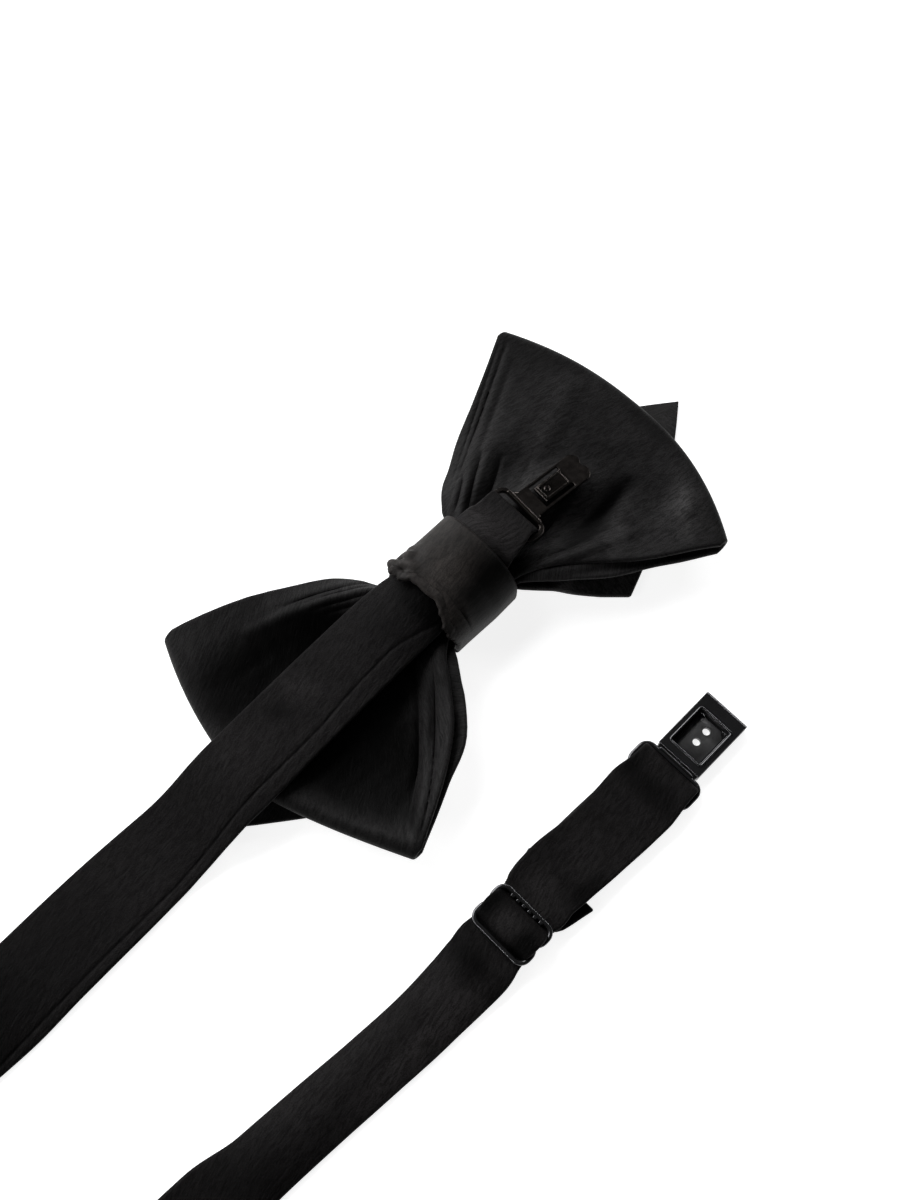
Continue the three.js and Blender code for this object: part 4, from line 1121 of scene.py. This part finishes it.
# %% Round the hook's corners and join it
for side in (-1, 1):
    fillet = block("fillet", (2.9, 4.3), (side * 3.6 - 0.5, side * 3.6 + 0.5), (-0.42, 0.42))
    pick_edges(fillet, lambda a, b: upright(a, b) and a[0] > 4 and abs(a[1]) > 3.7)
    bpy.ops.mesh.bevel(offset=0.75 * MM, segments=4, affect="EDGES", profile=0.25)
    bpy.ops.object.mode_set(mode="OBJECT")
    soften(fillet, 0.08)
    details.append(fillet)
for part in details:
    seat(part, HOOK_PLACE, HOOK_DIP, HOOK_TURN)
hook = join("hook_plate_metal", [hook_plate, *details], gunmetal)

# %% [markdown]
# ## The slide
#
# The slide is two rounded loops side by side with a shared bar in the middle, bent up from wire. One loop is modelled
# and copied. Along one bar stands a row of small teeth that bite the satin and stop it from slipping.

# %% Make the slide
PITCH, SLIDE_LENGTH = 4.85, 15.2
loop = ring_of_bar("slide_loop", (-0.5, PITCH + 0.5), (-SLIDE_LENGTH / 2, SLIDE_LENGTH / 2), (-0.48, 0.48), 2.5, 1.0)
soften(loop, 0.42, segments=4)
other_loop = loop.copy()
other_loop.data = loop.data.copy()
scene.collection.objects.link(other_loop)
other_loop.location.x = -PITCH * MM
teeth = []
for y in 1.55 * (np.arange(6) - 2.5):
    tooth = block("tooth", (PITCH - 1.0, PITCH - 0.4), (y - 0.42, y + 0.42), (-0.3, 0.42))
    soften(tooth, 0.12)
    teeth.append(tooth)
seat(other_loop, (-PITCH, 0, 0))
slide = join("slide_loops_enamel", [loop, other_loop, *teeth], enamel)
seat(slide, SLIDE_PLACE)

# %% [markdown]
# ## The socket
#
# The hook clicks into the socket. Its body is a flat box with a window on the back, so a pocket is made by insetting
# the top face, moving the inset's two short sides to where the window ends, and pushing it down. Two holes through
# the floor are cut with a Boolean modifier. A raised rim runs round the window, and a ring for the strap stands at
# one end.

# %% Make the socket's body
SOCKET_PLACE = (7.1, -58.3, 0)
BODY_START, BODY_END, BODY_SIDE, BODY_TOP = 1.1, 17.0, 5.6, 3.0
END_BEVEL, WINDOW_INSET = 0.4, 1.65
WINDOW = (3.6, 13.0)
body = block("socket_body", (BODY_START, BODY_END), (-BODY_SIDE, BODY_SIDE), (0.0, BODY_TOP))
pick_edges(body, lambda a, b: min(a[0], b[0]) > BODY_END - 0.1 and min(a[2], b[2]) > BODY_TOP - 0.1)
bpy.ops.mesh.bevel(offset=END_BEVEL * MM, segments=1, affect="EDGES")
pick_faces(body, lambda c, n: n.z > 0.9)
bpy.ops.mesh.inset(thickness=WINDOW_INSET * MM)
for inset_x, window_x in zip((BODY_START + WINDOW_INSET, BODY_END - END_BEVEL - WINDOW_INSET), WINDOW):
    pick_edges(body, lambda a, b: all(abs(p[0] - inset_x) < 0.01 and abs(p[1]) < 4 for p in (a, b)))
    bpy.ops.transform.translate(value=((window_x - inset_x) * MM, 0, 0))
pick_faces(body, lambda c, n: n.z > 0.9 and abs(c[0] - sum(WINDOW) / 2) < 0.3 and abs(c[1]) < 0.3)
bpy.ops.mesh.extrude_region_move(TRANSFORM_OT_translate={"value": (0, 0, -2.2 * MM)})
pick_faces(body, lambda c, n: n.x > 0.9 and c[0] > BODY_END - 0.1)
bpy.ops.mesh.inset(thickness=0.85 * MM)
bpy.ops.mesh.extrude_region_move(TRANSFORM_OT_translate={"value": (-3.0 * MM, 0, 0)})
soften(body, 0.4, segments=3)
print("the window is", WINDOW[1] - WINDOW[0], "mm long;", body.name, "has", len(body.data.polygons), "faces")

# %% Make the socket's floor plate and its holes
plate = block("socket_floor", (4.0, 12.7), (-3.55, 3.55), (0.7, 1.05))
pick_edges(plate, lambda a, b: upright(a, b) and a[0] > 12)
bpy.ops.mesh.bevel(offset=1.3 * MM, segments=1, affect="EDGES")
bpy.ops.object.mode_set(mode="OBJECT")
soften(plate, 0.1)
for x in (7.3, 10.5):
    bpy.ops.object.select_all(action="DESELECT")
    bpy.ops.mesh.primitive_cylinder_add(vertices=32, radius=0.85 * MM, depth=6 * MM, location=(x * MM, 0, 1 * MM))
    drill = bpy.context.active_object
    for piece in (body, plate):
        only(piece)
        cut = piece.modifiers.new("hole", "BOOLEAN")
        cut.object, cut.operation, cut.solver = drill, "DIFFERENCE", "EXACT"
        bpy.ops.object.modifier_apply(modifier="hole")
    bpy.data.objects.remove(drill)
print(plate.name, "has", len(plate.data.polygons), "faces")

# %% Make the socket's rim and ring
window_rim = ring_of_bar("window_rim", (2.9, 13.6), (-4.55, 4.55), (2.7, 3.25), 0.8, 0.55)
soften(window_rim, 0.24, segments=3)
ridge = block("ridge", (0.15, 0.85), (-4.6, 4.6), (1.5, 2.75))
soften(ridge, 0.3, segments=3)
web = block("web", (-0.4, 1.6), (-5.3, 5.3), (1.3, 2.35))
soften(web, 0.15)
ring = ring_of_bar("socket_ring", (-7.1, 0.5), (-8.35, 8.35), (1.45, 2.45), 2.6, 1.0)
soften(ring, 0.42, segments=4)
socket = join("socket_body_enamel", [body, window_rim, ridge, web, ring], enamel)
for piece in (socket, plate):
    seat(piece, SOCKET_PLACE)
plate.data.materials.append(floor_plate_metal)

# %% [markdown]
# ## Ride and replace
#
# There is one body, since nothing here turns or slides without cloth changing shape. Each piece stands for its solid,
# which is hidden, and rides on that body.

for piece, node, slot in (
    (back_loop, "back_loop", "satin"), (front_diamond, "front_diamond", "satin_front"),
    (knot_band, "knot_band", "band_satin"), (neck_strap, "neck_strap", "strap_satin"),
    (hook, "hook_clasp", "blackened_metal"), (slide, "adjuster_slide", "black_enamel_slide"),
    (socket, "socket_clasp", "black_enamel_socket"),
):
    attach(piece, "root")
    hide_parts(node)
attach(plate, "root")
print("eight pieces ride on the root")

# %% [markdown]
# ## Table and light
#
# The bow tie lies on a sheet of white paper that glows a little by itself, as paper does that is lit from below, so
# it stays white next to the black satin. One large soft light, the key, stands low beyond the bow's upper edge: it
# rakes over the folds. The sky is bright near the horizon and dark overhead, so that satin and metal that face
# straight up stay dark. Two long narrow lights at the sides draw the bright lines on the metal.

# %% Make the table and the sky
bpy.ops.object.select_all(action="DESELECT")
bpy.ops.mesh.primitive_plane_add(size=6.0, location=(-0.06, -0.02, -0.0002))
table_top = bpy.context.active_object
table_top.name = "table_top"
paper, nodes, shader = new_material("pale paper")
feed(nodes, shader, {
    "Base Color": (0.55, 0.55, 0.55, 1), "Roughness": 0.9, "Specular IOR Level": 0.1,
    "Emission Color": (1, 1, 1, 1), "Emission Strength": 0.86,
})
table_top.data.materials.append(paper)

world = bpy.data.worlds.new("studio")
scene.world = world
world.use_nodes = True
sky = world.node_tree
sky_parts = add_node(sky, "ShaderNodeSeparateXYZ", {0: add_node(sky, "ShaderNodeTexCoord").outputs["Generated"]})
sky_glow = in_range(sky, sky_parts.outputs["Z"], 0.12, 0.5, 0.9, 0.06)
feed(sky, sky.nodes["Background"], {"Strength": sky_glow})
print("stage:", table_top.name)


# %% Place the lights
def soft_light(name, place, aim, size, power):
    """A rectangular area light that faces a point."""
    data = bpy.data.lights.new(name, "AREA")
    data.shape = "RECTANGLE"
    data.size, data.size_y = size
    data.energy = power
    lamp = bpy.data.objects.new(name, data)
    lamp.location = place
    way = np.array(aim, float) - np.array(place, float)
    flat = math.hypot(way[0], way[1])
    lamp.rotation_euler = (math.atan2(flat, -way[2]), 0, math.atan2(way[1], way[0]) - math.pi / 2)
    scene.collection.objects.link(lamp)
    return lamp


key = soft_light("key", (0.0, 1.1, 0.74), (-0.02, -0.01, 0), (1.3, 1.2), 33.0)
soft_light("right strip", (0.8, 0.2, 0.5), (0, 0, 0), (0.8, 0.06), 3.0)
soft_light("left strip", (-0.85, 0.25, 0.4), (0, 0, 0), (0.8, 0.06), 3.0)
scene.view_settings.view_transform = "Standard"
print("light", key.data.energy, "W")
